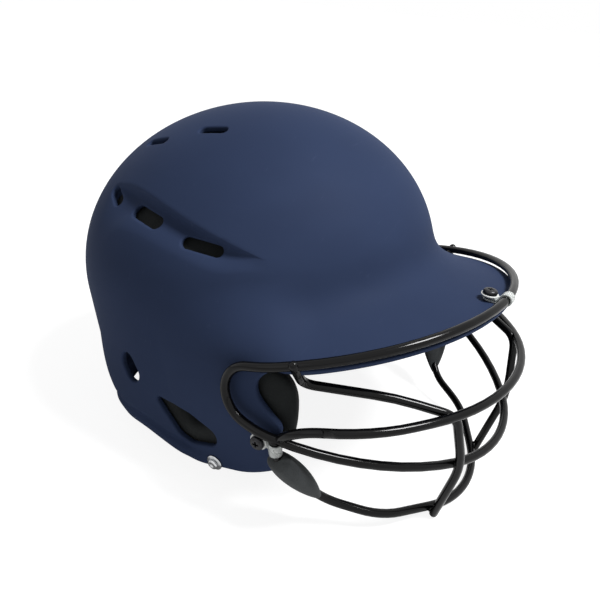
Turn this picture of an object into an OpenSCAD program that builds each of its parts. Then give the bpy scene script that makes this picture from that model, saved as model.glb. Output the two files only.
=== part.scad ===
// Batting helmet with a wire face guard.
// Lengths are millimetres. Every piece is drawn as worn: the front is -Y, the crown is +Z and
// the bowl's centre is the origin. stand() then leans it back onto its nape rim and chin bar.

/* [Bowl] */
// Width of the bowl at its widest level
bowl_w = 214; // [206:1:220]
// Length of the bowl from forehead to nape
bowl_l = 233; // [224:1:244]
// Height of the crown above the widest level
bowl_h = 97.5; // [90:0.5:106]
// Thickness of the moulded wall
shell_t = 3.6; // [3:0.1:4.4]
// Depth of the nape rim below the widest level
nape_depth = 80; // [74:1:86]
// How far the wall tucks in at the nape rim
rim_tuck = 6; // [3:0.5:9]
// Height of the rolled bead round the nape
bead_h = 1.5; // [0.8:0.1:2.2]

/* [Brim] */
// Reach of the brim ahead of the bowl
brim_reach = 46.5; // [40:0.5:52]
// Radius of the brim's front edge in plan
brim_r = 117; // [113:0.5:121]
// Level of the brim's edge below the widest level
brim_drop = 29.5; // [27:0.5:32]
// Level above the widest level where the flare starts
flare_top = 10; // [6:1:16]

/* [Ear flaps] */
// Width over the ear flaps
flap_w = 217; // [215:0.5:219]
// Depth of the ear flaps below the widest level
flap_depth = 98; // [92:1:103]
// Length of the ear hole
ear_hole_l = 44; // [38:1:47]
// Width of the ear hole at its widest
ear_hole_w = 22.5; // [18:0.5:24]

/* [Vents] */
// Depth of the sunk channel that holds the side vents
channel_depth = 5; // [3:0.5:6]
// Length of the largest side vent
vent_l = 25; // [20:1:28]
// Width of the side vents
vent_w = 8; // [6:0.5:10]
// Length of the crown slots
slot_l = 20; // [14:1:24]
// Width of the crown slots
slot_w = 5; // [3:0.5:6]
// Length of the two slots behind the ears
rear_slot_l = 18.5; // [15:0.5:22]
// Width of the two slots behind the ears
rear_slot_w = 12.5; // [9:0.5:14]

/* [Face guard] */
// Diameter of the coated wire
wire_d = 5; // [4.4:0.1:5.6]
// Width of the guard, wire centre to wire centre
guard_w = 225; // [224:0.5:230]
// Radius of the bend behind each ear
ear_bend = 17; // [14:0.5:20]
// Reach of the mouth bar ahead of the bowl's centre
mouth_reach = 153; // [146:1:160]
// Depth of the mouth bar's front below the widest level
mouth_depth = 111; // [106:1:116]
// Angle at which the mouth bar falls towards the front
mouth_fall = 30; // [26:0.5:33]
// Reach of the nose bar ahead of the bowl's centre
nose_reach = 164.5; // [160:0.5:170]
// Depth of the nose bar's front below the widest level
nose_depth = 70.5; // [66:0.5:76]
// Reach of the chin bar ahead of the bowl's centre
chin_reach = 130.5; // [124:0.5:136]
// Depth of the chin bar's front below the widest level
chin_depth = 148; // [142:1:154]
// Distance between the uprights at the nose bar
upright_gap = 116; // [104:1:124]
// Distance between the uprights at the chin bar
upright_foot = 84; // [74:1:92]

/* [Fastening] */
// Diameter of the screws' thread
screw_d = 4; // [3.5:0.1:4.5]
// Diameter of the screws' heads
head_d = 8; // [7:0.2:9]
// Height of the screws' heads
head_h = 2.6; // [2:0.2:3.2]
// Width of the nylon clips
clip_w = 7.5; // [6.5:0.5:9]
// Thickness of the nylon strip
clip_t = 1.3; // [1:0.1:1.6]
// Diameter of the chin strap studs
stud_d = 6.4; // [5:0.2:8]
// Height of the chin strap studs above the shell
stud_h = 3; // [2.5:0.5:4]

/* [Padding] */
// Thickness of the ear pads
ear_pad_t = 17; // [13:1:20]
// Thickness of the other pads
pad_t = 11; // [8:1:13]
// Length of the chin pads along their wire
chin_pad_l = 43; // [38:1:46]
// Width of the chin pads
chin_pad_w = 25; // [20:1:28]

/* [Hidden] */
$fn = 48;

// Clearance between pieces that rest on each other
gap = 0.3;
wire_r = wire_d / 2;
edge_x = flap_w / 2;
guard_x = guard_w / 2;
brim_front = bowl_l / 2 + brim_reach;
brim_back = brim_front - brim_r;
flare_run = flare_top + brim_drop;
// The guard stands off the brim by the thickness of a clip's strip
brim_wire_z = wire_r + clip_t + gap - brim_drop;

function ease(v) = let (c = min(1, max(0, v))) c * c * (3 - 2 * c);
function mix(a, b, k) = a + (b - a) * k;
function unit(v) = v / norm(v);
function soft_min(a, b, k) = (a + b - sqrt((a - b) * (a - b) + k * k)) / 2;
function soft_max(a, b, k) = -soft_min(-a, -b, k);
function flip(v) = [-v[0], v[1], v[2]];

// Plan of the bowl and of the brim and flaps, as a distance from the centre at bearing a,
// which is 0 at the front and 180 at the nape
function bowl_plan(a) = 1 / norm([sin(a) / bowl_w * 2, cos(a) / bowl_l * 2]);
function brim_plan(a) = brim_back * cos(a) + sqrt(pow(brim_r, 2) - pow(brim_back * sin(a), 2));
function flap_plan(a) = edge_x / max(0.3, abs(sin(a)));
function skirt_plan(a) = soft_min(brim_plan(a), flap_plan(a), 4);
function flare(a) =
    max(0, skirt_plan(a) - bowl_plan(a)) * (1 - ease((abs(a) - 75) / 55));

// Share of the flare that is reached at level z: the brim sweeps out, the flaps turn down
brim_sweep = 3.2;
function flare_share(a, z) =
    let (t = min(1, max(0, (flare_top - z) / flare_run)))
    mix(pow(t, brim_sweep), ease(t), ease((abs(a) - 40) / 25));
// Behind the ears the wall bellies out a little, then tucks in towards the rim
rear_belly = 1.6;
function tuck(a, z) =
    let (t = max(0, -z - brim_drop) / (nape_depth - brim_drop), rear = ease((abs(a) - 90) / 25))
    rim_tuck * (1 - 0.4 * pow(sin(a), 2)) * pow(t, 2 + 2 * rear)
    - rear_belly * rear * sin(180 * min(1, t));
function skin_r(a, z) =
    z > 0 ? bowl_plan(a) * sqrt(max(0, 1 - pow(z / bowl_h, 2))) + flare(a) * flare_share(a, z)
          : bowl_plan(a) + flare(a) * flare_share(a, z) - tuck(a, z);
function skin(a, z) = let (r = skin_r(a, z)) [r * sin(a), -r * cos(a), z];

// Outward direction of the skin: an ellipsoid's above the flare, else from short steps along it
function skin_out(a, z) =
    let (p = skin(a, z))
    z > flare_top ? unit([p[0] / pow(bowl_w / 2, 2), p[1] / pow(bowl_l / 2, 2), z / pow(bowl_h, 2)])
    : unit(cross(skin(a + 0.5, z) - skin(a - 0.5, z), skin(a, z + 0.3) - skin(a, z - 0.3)));
function under(a, z, depth) = skin(a, z) - skin_out(a, z) * depth;

// Crease above the side vents, and the width and depth of the channel below it
crease_low = 20;
crease_rise = 43;
crease_start = 51;
crease_end = 108;
channel_w = 17;
function crease_z(a) =
    crease_low + crease_rise
    * sin(90 * min(1, max(0, (abs(a) - crease_start) / (crease_end - crease_start))));
function channel(a) = ease((abs(a) - 50) / 14) * (1 - ease((abs(a) - 98) / 20));

// Lower edge of the flaps and nape, and the flap's front edge with its notch
flap_rear = 112;
flap_full = 80;
function rim_z(a) =
    -mix(nape_depth, flap_depth, ease((flap_rear - abs(a)) / (flap_rear - flap_full)));
notch = [[0, 80], [3, 74.5], [6, 70.5], [10, 68.5], [16, 69], [21, 72], [26, 75.5], [31.5, 79.5],
         [37, 78], [43, 71.5], [50, 71], [57, 70], [70, 70]];
function notch_y(depth) = lookup(depth, notch);
function front_bearing(z) = atan2(edge_x, notch_y(-brim_drop - z));

// Grid of the shell: columns follow the bearing, rows follow the level
brim_cols = 9;
wall_cols = 15;
half_cols = brim_cols + wall_cols;
cols = 2 * half_cols;
walls = cols - 2 * brim_cols + 1;
corner = front_bearing(-brim_drop);
function col_bearing(c) =
    let (k = c - half_cols, s = abs(k))
    (k < 0 ? -1 : 1)
    * (s <= brim_cols ? corner * s / brim_cols
                      : mix(corner, 180, (s - brim_cols) / wall_cols));

crown_rows = 8;
channel_rows = 4;
belly_rows = 2;
flare_rows = 7;
low_row = crown_rows + 1 + channel_rows;
flare_row = low_row + belly_rows;
top_rows = flare_row + flare_rows;
// Foot of the crease's step, and the level where the channel has run out
function step_z(a) = crease_z(a) - 3 * channel(a) - 0.8;
function channel_low(a) =
    mix(mix(flare_top, step_z(a), 0.35),
        soft_max(flare_top + 4, crease_z(a) - 5 - channel_w, 5), channel(a));
// Share of the channel's depth at a share of the way down from its step
function channel_share(s) = pow(cos(90 * s), 1.6);
function row_z(a, j) =
    j <= crown_rows ? bowl_h * sin(mix(90, asin(crease_z(a) / bowl_h), j / crown_rows))
    : j <= low_row ? mix(step_z(a), channel_low(a), (j - crown_rows - 1) / channel_rows)
    : j <= flare_row ? mix(channel_low(a), flare_top, (j - low_row) / belly_rows)
    : flare_top - flare_run * (1 - pow(1 - (j - flare_row) / flare_rows, 1.5));
function row_sink(a, j) =
    let (s = (j - crown_rows - 1) / channel_rows)
    j <= crown_rows || s > 1 ? 0 : channel_depth * channel(a) * channel_share(s);

// Rows below the brim: the wall, a shallow groove, then the bead along the rim
wall_rows = 7;
low_rows = wall_rows + 3;
bead_w = 9;
groove = 0.8;
function wall_bearing(w, z) =
    let (c = brim_cols + w > half_cols ? walls - 1 - w : w,
         base = mix(corner, 180, c / wall_cols),
         lean = (front_bearing(z) - corner) * (1 - ease(c / 6)),
         side = w <= wall_cols ? 1 : -1)
    side * (base + lean);
function low_z(w, k) =
    let (c = min(w, walls - 1 - w),
         base = mix(corner, 180, c / wall_cols),
         lift = 7 * pow(max(0, 1 - c / 1.6), 2),
         rim = rim_z(base) + lift,
         s = k - wall_rows)
    s <= 0 ? mix(-brim_drop, rim + bead_w, k / wall_rows)
    : rim + (s == 1 ? bead_w - 2.5 : s == 2 ? 1.5 : 0);
function low_sink(a, k) =
    ease((abs(a) - 74) / 18)
    * (k == wall_rows ? groove : k > wall_rows && k < low_rows ? -bead_h : 0);

// Depth of the channel below the skin, for what seats inside it
function hollow(a, z) =
    let (top = crease_z(a), foot = step_z(a), low = channel_low(a), full = channel_depth * channel(a))
    z > top || z < low ? 0
    : z > foot ? full * (top - z) / (top - foot)
    : full * channel_share((foot - z) / (foot - low));

// Points of one face of the wall, at a depth below the outer face
function top_point(c, j, depth) =
    let (a = col_bearing(c), z = row_z(a, j)) under(a, z, depth + row_sink(a, j));
function low_point(w, k, depth) =
    let (z = low_z(w, k), a = wall_bearing(w, z)) under(a, z, depth + low_sink(a, k));
function face_points(depth) = concat(
    [[0, 0, bowl_h - depth]],
    [for (j = [1:top_rows]) for (c = [0:cols - 1]) top_point(c, j, depth)],
    [for (k = [1:low_rows]) for (w = [0:walls - 1]) low_point(w, k, depth)]
);
face_count = 1 + top_rows * cols + low_rows * walls;
function top_id(c, j) = j == 0 ? 0 : 1 + (j - 1) * cols + (c + cols) % cols;
function low_id(w, k) =
    k == 0 ? top_id(half_cols + brim_cols + w, top_rows)
           : 1 + top_rows * cols + (k - 1) * walls + w;
function quad(a, b, c, d) = [[a, b, c], [a, c, d]];
function turned(f, n) = [for (t = f) [t[2] + n, t[1] + n, t[0] + n]];

outer_faces = concat(
    [for (c = [0:cols - 1]) [0, top_id(c, 1), top_id(c + 1, 1)]],
    [for (j = [1:top_rows - 1]) for (c = [0:cols - 1])
        each quad(top_id(c, j), top_id(c, j + 1), top_id(c + 1, j + 1), top_id(c + 1, j))],
    [for (k = [0:low_rows - 1]) for (w = [0:walls - 2])
        each quad(low_id(w, k), low_id(w, k + 1), low_id(w + 1, k + 1), low_id(w + 1, k))]
);
// The free edge runs along the brim, down one flap, round the nape and up the other flap
edge_loop = concat(
    [for (c = [half_cols - brim_cols:half_cols + brim_cols - 1]) top_id(c, top_rows)],
    [for (k = [0:low_rows - 1]) low_id(0, k)],
    [for (w = [0:walls - 2]) low_id(w, low_rows)],
    [for (k = [low_rows:-1:1]) low_id(walls - 1, k)]
);
edge_faces = [for (i = [0:len(edge_loop) - 1])
    let (a = edge_loop[i], b = edge_loop[(i + 1) % len(edge_loop)])
    each quad(a, a + face_count, b + face_count, b)];

// Places its children on the skin: z points outward, x runs round the shell towards the nape
module on_skin(a, z, depth = 0, side = 1) {
    o = skin_out(a, z);
    x = unit(cross([0, 0, 1], o));
    y = cross(o, x);
    p = under(a, z, depth);
    m = [[x[0], y[0], o[0], p[0]], [x[1], y[1], o[1], p[1]], [x[2], y[2], o[2], p[2]]];
    if (side > 0)
        multmatrix(m) children();
    else
        mirror([1, 0, 0]) multmatrix(m) children();
}

module long_hole(l, w, h = 30) {
    linear_extrude(height = h, center = true)
        union() {
            square([l - w, w], center = true);
            for (s = [-1, 1])
                translate([s * (l - w) / 2, 0])
                    circle(d = w, $fn = 24);
        }
}

// Outline of the form that circles [x, y, radius] span, with one point for each direction
function reach_of(c, u) = c[0] * u[0] + c[1] * u[1] + c[2];
function furthest(circles, u, i = 0, best = 0) =
    i == len(circles) ? circles[best]
    : furthest(circles, u, i + 1, reach_of(circles[i], u) > reach_of(circles[best], u) ? i : best);
function spanned(circles, n) =
    [for (k = [0:n - 1])
        let (u = [cos(360 * k / n), sin(360 * k / n)], c = furthest(circles, u))
        [c[0], c[1]] + c[2] * u];

// Side vents below the crease: bearing, distance below it, tilt, and shares of length and width
side_vents = [[68.5, 10, 20, 0.94, 0.82], [90.5, 10.7, 24, 1, 1], [111.5, 5.7, 40, 0.58, 0.82]];
// Crown slots: bearing, level, tilt, and shares of length and width
crown_slots = [[66.3, 84.6, 14, 0.9, 1.15], [107.5, 82.7, -2, 1, 1]];
rear_slot_a = 104;
rear_slot_z = -39.5;
rear_slot_tilt = 65;
// Place of the ear hole, its slope up towards the nape, and the circles that span it
ear_hole_a = 77;
ear_hole_z = -76;
ear_hole_tilt = 31;
ear_hole_end = ear_hole_w * 0.3;
ear_hole_tip = 2.2;
ear_hole = [
    [0, -0.5, ear_hole_end],
    [ear_hole_l * 0.3, -4.3, ear_hole_w / 2],
    [ear_hole_l - ear_hole_end - ear_hole_tip, 0.5, ear_hole_tip]
];

// Where the fasteners go: each screw's washer stays clear of its clip's loop round the wire
washer_d = head_d + 1.8;
clip_reach = washer_d / 2 + wire_r + clip_t + 1.6;
brim_screw_r = brim_front - clip_reach;
brim_screw_z = flare_top - flare_run
    * pow((brim_screw_r - bowl_l / 2) / brim_reach, 1 / brim_sweep);
// The chin bar's ends climb just ahead of the flaps' furthest point
riser_y = -(notch_y(31.5) + 1.5);
ear_clip_reach = clip_reach + 5;
ear_screw_a = atan2(edge_x, -riser_y - ear_clip_reach);
stud_a = 77;
stud_level = 3.8;
stud_z = rim_z(stud_a) + stud_level;
stud_neck_r = stud_d * 0.34;

module shell_blank() {
    polyhedron(
        points = concat(face_points(0), face_points(shell_t)),
        faces = concat(outer_faces, turned(outer_faces, face_count), edge_faces),
        convexity = 8
    );
}

module shell() {
    color([0.11, 0.14, 0.24])
        stand()
            difference() {
                shell_blank();
                for (side = [-1, 1]) {
                    for (v = side_vents)
                        on_skin(v[0], crease_z(v[0]) - v[1], 0, side)
                            rotate([0, 0, v[2]])
                                long_hole(vent_l * v[3], vent_w * v[4]);
                    for (v = crown_slots)
                        on_skin(v[0], v[1], 0, side)
                            rotate([0, 0, v[2]])
                                long_hole(slot_l * v[3], slot_w * v[4]);
                    on_skin(rear_slot_a, rear_slot_z, 0, side)
                        rotate([0, 0, rear_slot_tilt])
                            long_hole(rear_slot_l, rear_slot_w);
                    on_skin(ear_hole_a, ear_hole_z, 0, side)
                        rotate([0, 0, ear_hole_tilt])
                            linear_extrude(height = 30, center = true)
                                polygon(spanned(ear_hole, 36));
                    on_skin(ear_screw_a, ear_screw_z, 0, side)
                        cylinder(d = screw_d + 2 * gap, h = 30, center = true);
                    on_skin(stud_a, stud_z, 0, side)
                        cylinder(r = stud_neck_r + gap / 2, h = 20, center = true);
                }
                on_skin(0, brim_screw_z)
                    cylinder(d = screw_d + 2 * gap, h = 20, center = true);
            }
}

// Points along a wire that is bent at its corners, each corner with its own bend radius; the
// straight lengths between points stay within bend_sag of the true bend
bend_sag = 0.12;
bend_step = 12;
function bend_arc(p, b, f, r) =
    let (half = acos(max(-1, min(1, b * f))) / 2,
         centre = p + unit(b + f) * r / sin(half),
         x = unit(p + b * r / tan(half) - centre),
         e = p + f * r / tan(half) - centre,
         y = unit(e - (e * x) * x),
         steps = ceil((180 - 2 * half) / min(bend_step, 2 * acos(1 - bend_sag / r))))
    [for (s = [0:steps])
        let (t = (180 - 2 * half) * s / steps) centre + r * (cos(t) * x + sin(t) * y)];
function bent_route(points, bends, closed) =
    let (n = len(points),
         arcs = [for (i = [0:n - 1])
             each closed || (i > 0 && i < n - 1)
                 ? bend_arc(points[i], unit(points[(i + n - 1) % n] - points[i]),
                            unit(points[(i + 1) % n] - points[i]), bends[i])
                 : [points[i]]],
         m = len(arcs))
    [for (i = [0:m - 1])
        if ((i == 0 && !closed) || norm(arcs[i] - arcs[(i + m - 1) % m]) > 0.5) arcs[i]];

// A round wire as one tube along its route; each ring is laid out from the direction to a hub
// that the wire runs round
wire_sides = 10;
guard_hub = [0, -60, -60];
module wire(points, bends, closed = false, hub = guard_hub) {
    route = bent_route(points, bends, closed);
    n = len(route);
    function along(i) =
        closed ? unit(route[(i + 1) % n] - route[(i + n - 1) % n])
               : unit(route[min(i + 1, n - 1)] - route[max(i - 1, 0)]);
    function id(i, k) = (i % n) * wire_sides + k % wire_sides;
    rings = [for (i = [0:n - 1])
        let (t = along(i), h = route[i] - hub, u = unit(h - (h * t) * t), v = cross(t, u))
        for (k = [0:wire_sides - 1])
            let (b = 360 * k / wire_sides) route[i] + wire_r * (cos(b) * u + sin(b) * v)];
    polyhedron(
        points = rings,
        faces = concat(
            [for (i = [0:closed ? n - 1 : n - 2]) for (k = [0:wire_sides - 1])
                each quad(id(i, k), id(i + 1, k), id(i + 1, k + 1), id(i, k + 1))],
            closed ? [] : [for (k = [1:wire_sides - 2]) [id(0, 0), id(0, k), id(0, k + 1)]],
            closed ? [] : [for (k = [1:wire_sides - 2])
                [id(n - 1, 0), id(n - 1, k + 1), id(n - 1, k)]]),
        convexity = 8
    );
}

function mirrored(points) = concat([for (i = [len(points) - 1:-1:0]) flip(points[i])], points);
function doubled(v) = concat([for (i = [len(v) - 1:-1:0]) v[i]], v);

// Corners of a bar in its own plane, from the centre out to the ear: a front arc, a flatter
// side arc and an ear arc that ends straight back at half width x
function bar_side_r(x, r, a, re, ae) =
    (x - r * sin(a) - re * (1 - sin(90 - ae))) / (sin(90 - ae) - sin(a));
function bar_corner(p, h, r, a) = p + r * tan(a / 2) * [cos(h), -sin(h)];
function arc_end(p, h, r, a) = p + r * [sin(h + a) - sin(h), cos(h + a) - cos(h)];
function bar_corners(x, reach, r, a, re, ae) =
    let (rs = bar_side_r(x, r, a, re, ae), as = 90 - a - ae,
         p0 = [0, reach], p1 = arc_end(p0, 0, r, a), p2 = arc_end(p1, a, rs, as))
    [bar_corner(p0, 0, r, a), bar_corner(p1, a, rs, as), bar_corner(p2, 90 - ae, re, ae)];
function bar_bends(x, r, a, re, ae) = [r, bar_side_r(x, r, a, re, ae), re];
// Distance ahead of the centre that a bar's plane curve has at half width x
function bar_ahead(x, w, reach, r, a, re, ae) =
    let (rs = bar_side_r(w, r, a, re, ae), p1 = arc_end([0, reach], 0, r, a),
         c = p1 - rs * [sin(a), cos(a)])
    x < p1[0] ? reach - r + sqrt(r * r - x * x) : c[1] + sqrt(rs * rs - pow(x - c[0], 2));

// The planes that the bars lie in: s is the distance along the plane from the ear line
function top_plane(v) = [v[0], -v[1], brim_wire_z];
mouth_s = mouth_reach / cos(mouth_fall);
function mouth_plane(v) =
    [v[0], -v[1] * cos(mouth_fall), (mouth_s - v[1]) * sin(mouth_fall) - mouth_depth];
nose_fall = 11;
function nose_plane(v) =
    [v[0], -v[1] * cos(nose_fall), (nose_reach / cos(nose_fall) - v[1]) * sin(nose_fall) - nose_depth];

top_shape = [brim_r, 50, 50, 20];
mouth_shape = [88, 30, 42, 20];
nose_shape = [118, 36, 40, 24];
function plan_corners(x, reach, s) = bar_corners(x, reach, s[0], s[1], s[2], s[3]);
function plan_bends(x, s) = bar_bends(x, s[0], s[1], s[2], s[3]);

// Corner where the top wire and the mouth bar meet behind the ear
ear_corner_y = -(mouth_reach - (mouth_depth + brim_wire_z) / tan(mouth_fall));
top_side = [for (v = plan_corners(guard_x, brim_front, top_shape)) top_plane(v)];
mouth_side = [for (v = plan_corners(guard_x, mouth_s, mouth_shape)) mouth_plane(v)];
frame_side = concat(top_side, [[guard_x, ear_corner_y, brim_wire_z]],
                    [for (i = [2:-1:0]) mouth_side[i]]);
frame_side_bends = concat(plan_bends(guard_x, top_shape), [ear_bend],
                          [for (i = [2:-1:0]) plan_bends(guard_x, mouth_shape)[i]]);

module guard_wire_frame() {
    wire(concat(frame_side, [for (i = [len(frame_side) - 1:-1:0]) flip(frame_side[i])]),
         concat(frame_side_bends, [for (i = [len(frame_side) - 1:-1:0]) frame_side_bends[i]]),
         closed = true);
}

module guard_frame() {
    color([0.03, 0.03, 0.035])
        stand()
            guard_wire_frame();
}

// Half width of the mouth bar at a distance along its plane, on its side arc
function mouth_x_at(s) =
    let (r = mouth_shape[0], a = mouth_shape[1],
         rs = bar_side_r(guard_x, r, a, mouth_shape[2], mouth_shape[3]),
         p1 = arc_end([0, mouth_s], 0, r, a), c = p1 - rs * [sin(a), cos(a)])
    c[0] + sqrt(rs * rs - pow(s - c[1], 2));
function mouth_side_at(s) = mouth_plane([mouth_x_at(s), s]);

// The nose bar turns down at each ear and is welded on top of the mouth bar
nose_end = mouth_side_at(85) + [0, 0, wire_r * 0.6];
nose_side_r = 100;
nose_turn = 24;
nose_side = concat(
    [for (i = [0, 1]) nose_plane(plan_corners(guard_x, nose_reach / cos(nose_fall), nose_shape)[i])],
    [nose_plane([guard_x - 1, 92]), nose_end]);
nose_bends = [nose_shape[0], nose_side_r, nose_turn, 0];

module nose_bar() {
    color([0.03, 0.03, 0.035])
        stand()
            wire(mirrored(nose_side), doubled(nose_bends));
}

// The chin bar climbs at each side, through its pad, to a weld below the mouth bar
chin_fall = 32.5;
chin_first = 31;
chin_s = chin_reach / cos(chin_fall);
function chin_plane(v) =
    [v[0], -v[1] * cos(chin_fall), (chin_s - v[1]) * sin(chin_fall) - chin_depth];
// Point on the bar's first slanted run at half width x
chin_turn_x = 19.5;
function chin_run(x) = chin_plane([x, chin_s - (x - chin_turn_x) * tan(chin_first)]);
chin_low = chin_plane([88, 88]);
riser_top = mouth_side_at(-riser_y / cos(mouth_fall)) - [0, 0, wire_r * 0.6];
riser_low = riser_top + [-1.5, 0, -19];
ear_screw_z = riser_top[2] - 0.7;
chin_side = [chin_run(chin_turn_x), chin_run(60), chin_low, riser_low, riser_top];
chin_bends = [70, 50, 14, 20, 0];

module chin_wire() {
    wire(mirrored(chin_side), doubled(chin_bends));
}

module chin_bar() {
    color([0.03, 0.03, 0.035])
        stand()
            chin_wire();
}

// Corner of a bend of radius r that passes outside a bar point m, between points p and q
weld = wire_d * 0.88;
function over_bar(p, m, q, r) =
    let (b = unit(p - m), f = unit(q - m), half = acos(b * f) / 2)
    m - unit(b + f) * (weld + r * (1 / sin(half) - 1));

// Each upright hangs from the brim wire, runs forward and bends down over the three bars
function bar_at(x, w, reach, s) = [x, bar_ahead(x, w, reach, s[0], s[1], s[2], s[3])];
hang_x = 107.2;
hang_top = top_plane(bar_at(hang_x, guard_x, brim_front, top_shape)) + wire_r * [0.7, 0, -0.7];
hang_low = hang_top + [-17, 6, -14];
knee_x = upright_gap / 2;
foot_x = upright_foot / 2;
mouth_x = mix(knee_x, foot_x, 0.42);
nose_point = nose_plane(bar_at(knee_x, guard_x, nose_reach / cos(nose_fall), nose_shape));
mouth_point = mouth_plane(bar_at(mouth_x, guard_x, mouth_s, mouth_shape));
chin_point = chin_run(foot_x);
knee_bend = 12;
sweep_bend = 60;
foot_out = unit(cross([1, 0.6, 0], mouth_point - chin_point));
upright_foot_end = chin_point + foot_out * weld + unit(chin_point - mouth_point) * wire_r;
upright_side = [
    hang_top, hang_low,
    over_bar(hang_low, nose_point, mouth_point, knee_bend),
    over_bar(nose_point, mouth_point, chin_point, sweep_bend),
    upright_foot_end
];
upright_bends = [0, 10, knee_bend, sweep_bend, 0];

upright_hub = [-900, -100, -80];
module upright(side) {
    color([0.03, 0.03, 0.035])
        stand()
            mirror([side < 0 ? 1 : 0, 0, 0])
                wire(upright_side, upright_bends, hub = upright_hub);
}

module upright_right() { upright(-1); }
module upright_left() { upright(1); }

// Leaf-shaped pad threaded on the climbing end of the chin bar
pad_rings = 11;
pad_sides = 14;
chin_pad_low = 5;
// The pad hangs off the wire by this much, outwards and down
chin_pad_shift = 3.5;
module chin_pad_blank() {
    axis = unit(riser_low - chin_low);
    flat = unit(cross(axis, [1, 0.3, 0]));
    thick = cross(axis, flat);
    start = chin_low - axis * chin_pad_low;
    function ring(i, k) =
        let (s = i / pad_rings, swell = pow(sin(180 * pow(s, 1.3)), 0.65), b = 360 * k / pad_sides)
        start + axis * chin_pad_l * s
        + flat * chin_pad_w / 2 * swell * cos(b)
        + thick * swell * ((wire_r + chin_pad_w * 0.2) * sin(b) - chin_pad_shift);
    function id(i, k) = 1 + (i - 1) * pad_sides + k % pad_sides;
    last = 1 + (pad_rings - 1) * pad_sides;
    polyhedron(
        points = concat([start],
            [for (i = [1:pad_rings - 1]) for (k = [0:pad_sides - 1]) ring(i, k)],
            [start + axis * chin_pad_l]),
        faces = concat(
            [for (k = [0:pad_sides - 1]) [0, id(1, k), id(1, k + 1)]],
            [for (i = [1:pad_rings - 2]) for (k = [0:pad_sides - 1])
                each quad(id(i, k), id(i + 1, k), id(i + 1, k + 1), id(i, k + 1))],
            [for (k = [0:pad_sides - 1]) [last, id(pad_rings - 1, k + 1), id(pad_rings - 1, k)]]),
        convexity = 4
    );
}

module chin_pad(side) {
    color([0.26, 0.27, 0.27])
        stand()
            mirror([side < 0 ? 1 : 0, 0, 0])
                difference() {
                    chin_pad_blank();
                    wire(chin_side, chin_bends);
                }
}

module chin_pad_right() { chin_pad(-1); }
module chin_pad_left() { chin_pad(1); }

// Foam cushion on the inside of the shell, centred at bearing a and level z: round the middle
// it swells inwards, and its outline is drawn in to a thin edge
cushion_steps = [0.4, 0.7, 0.9, 1];
cushion_sides = 24;
cushion_seat = 0.3;
pad_gap = 0.8;
function crown_of(r) = sqrt(1 - pow(r, 4));
function cushion_depth(r, t, inner) =
    let (h = crown_of(r))
    shell_t + pad_gap + t * (inner ? cushion_seat + (1 - cushion_seat) * h : cushion_seat * (1 - h));
module cushion(a, z, half_a, half_z, t) {
    function squared(v) = sign(v) * pow(abs(v), 0.6);
    function spot(r, k, inner) =
        let (b = 360 * k / cushion_sides,
             sa = a + half_a * r * squared(cos(b)),
             sz = z + half_z * r * squared(sin(b)))
        under(sa, sz, cushion_depth(r, t, inner) + hollow(sa, sz) * (inner ? 1 - crown_of(r) : 1));
    function id(inner, i, k) =
        i == len(cushion_steps) - 1 ? 2 + i * cushion_sides + k % cushion_sides
        : 2 + (inner ? len(cushion_steps) * cushion_sides : 0) + i * cushion_sides + k % cushion_sides;
    n = len(cushion_steps);
    outside = concat(
        [for (k = [0:cushion_sides - 1]) [0, id(false, 0, k + 1), id(false, 0, k)]],
        [for (i = [0:n - 2]) for (k = [0:cushion_sides - 1])
            each quad(id(false, i, k), id(false, i, k + 1), id(false, i + 1, k + 1), id(false, i + 1, k))]);
    inside = concat(
        [for (k = [0:cushion_sides - 1]) [1, id(true, 0, k), id(true, 0, k + 1)]],
        [for (i = [0:n - 2]) for (k = [0:cushion_sides - 1])
            each quad(id(true, i, k), id(true, i + 1, k), id(true, i + 1, k + 1), id(true, i, k + 1))]);
    polyhedron(
        points = concat([spot(0, 0, false), spot(0, 0, true)],
            [for (i = [0:n - 1]) for (k = [0:cushion_sides - 1]) spot(cushion_steps[i], k, false)],
            [for (i = [0:n - 2]) for (k = [0:cushion_sides - 1]) spot(cushion_steps[i], k, true)]),
        faces = concat(outside, inside),
        convexity = 6
    );
}

module cushion_at(side, a, z, half_a, half_z, t) {
    mirror([side < 0 ? 1 : 0, 0, 0])
        cushion(a, z, half_a, half_z, t);
}

foam = [0.07, 0.08, 0.08];
module front_pad() { color(foam) stand() cushion(0, 24, 52, 21, pad_t); }
module rear_pad() { color(foam) stand() cushion(180, -28, 48, 26, pad_t); }
module side_pad(side) { color(foam) stand() cushion_at(side, 90, 40, 33, 27, pad_t); }
module side_pad_right() { side_pad(-1); }
module side_pad_left() { side_pad(1); }

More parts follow.
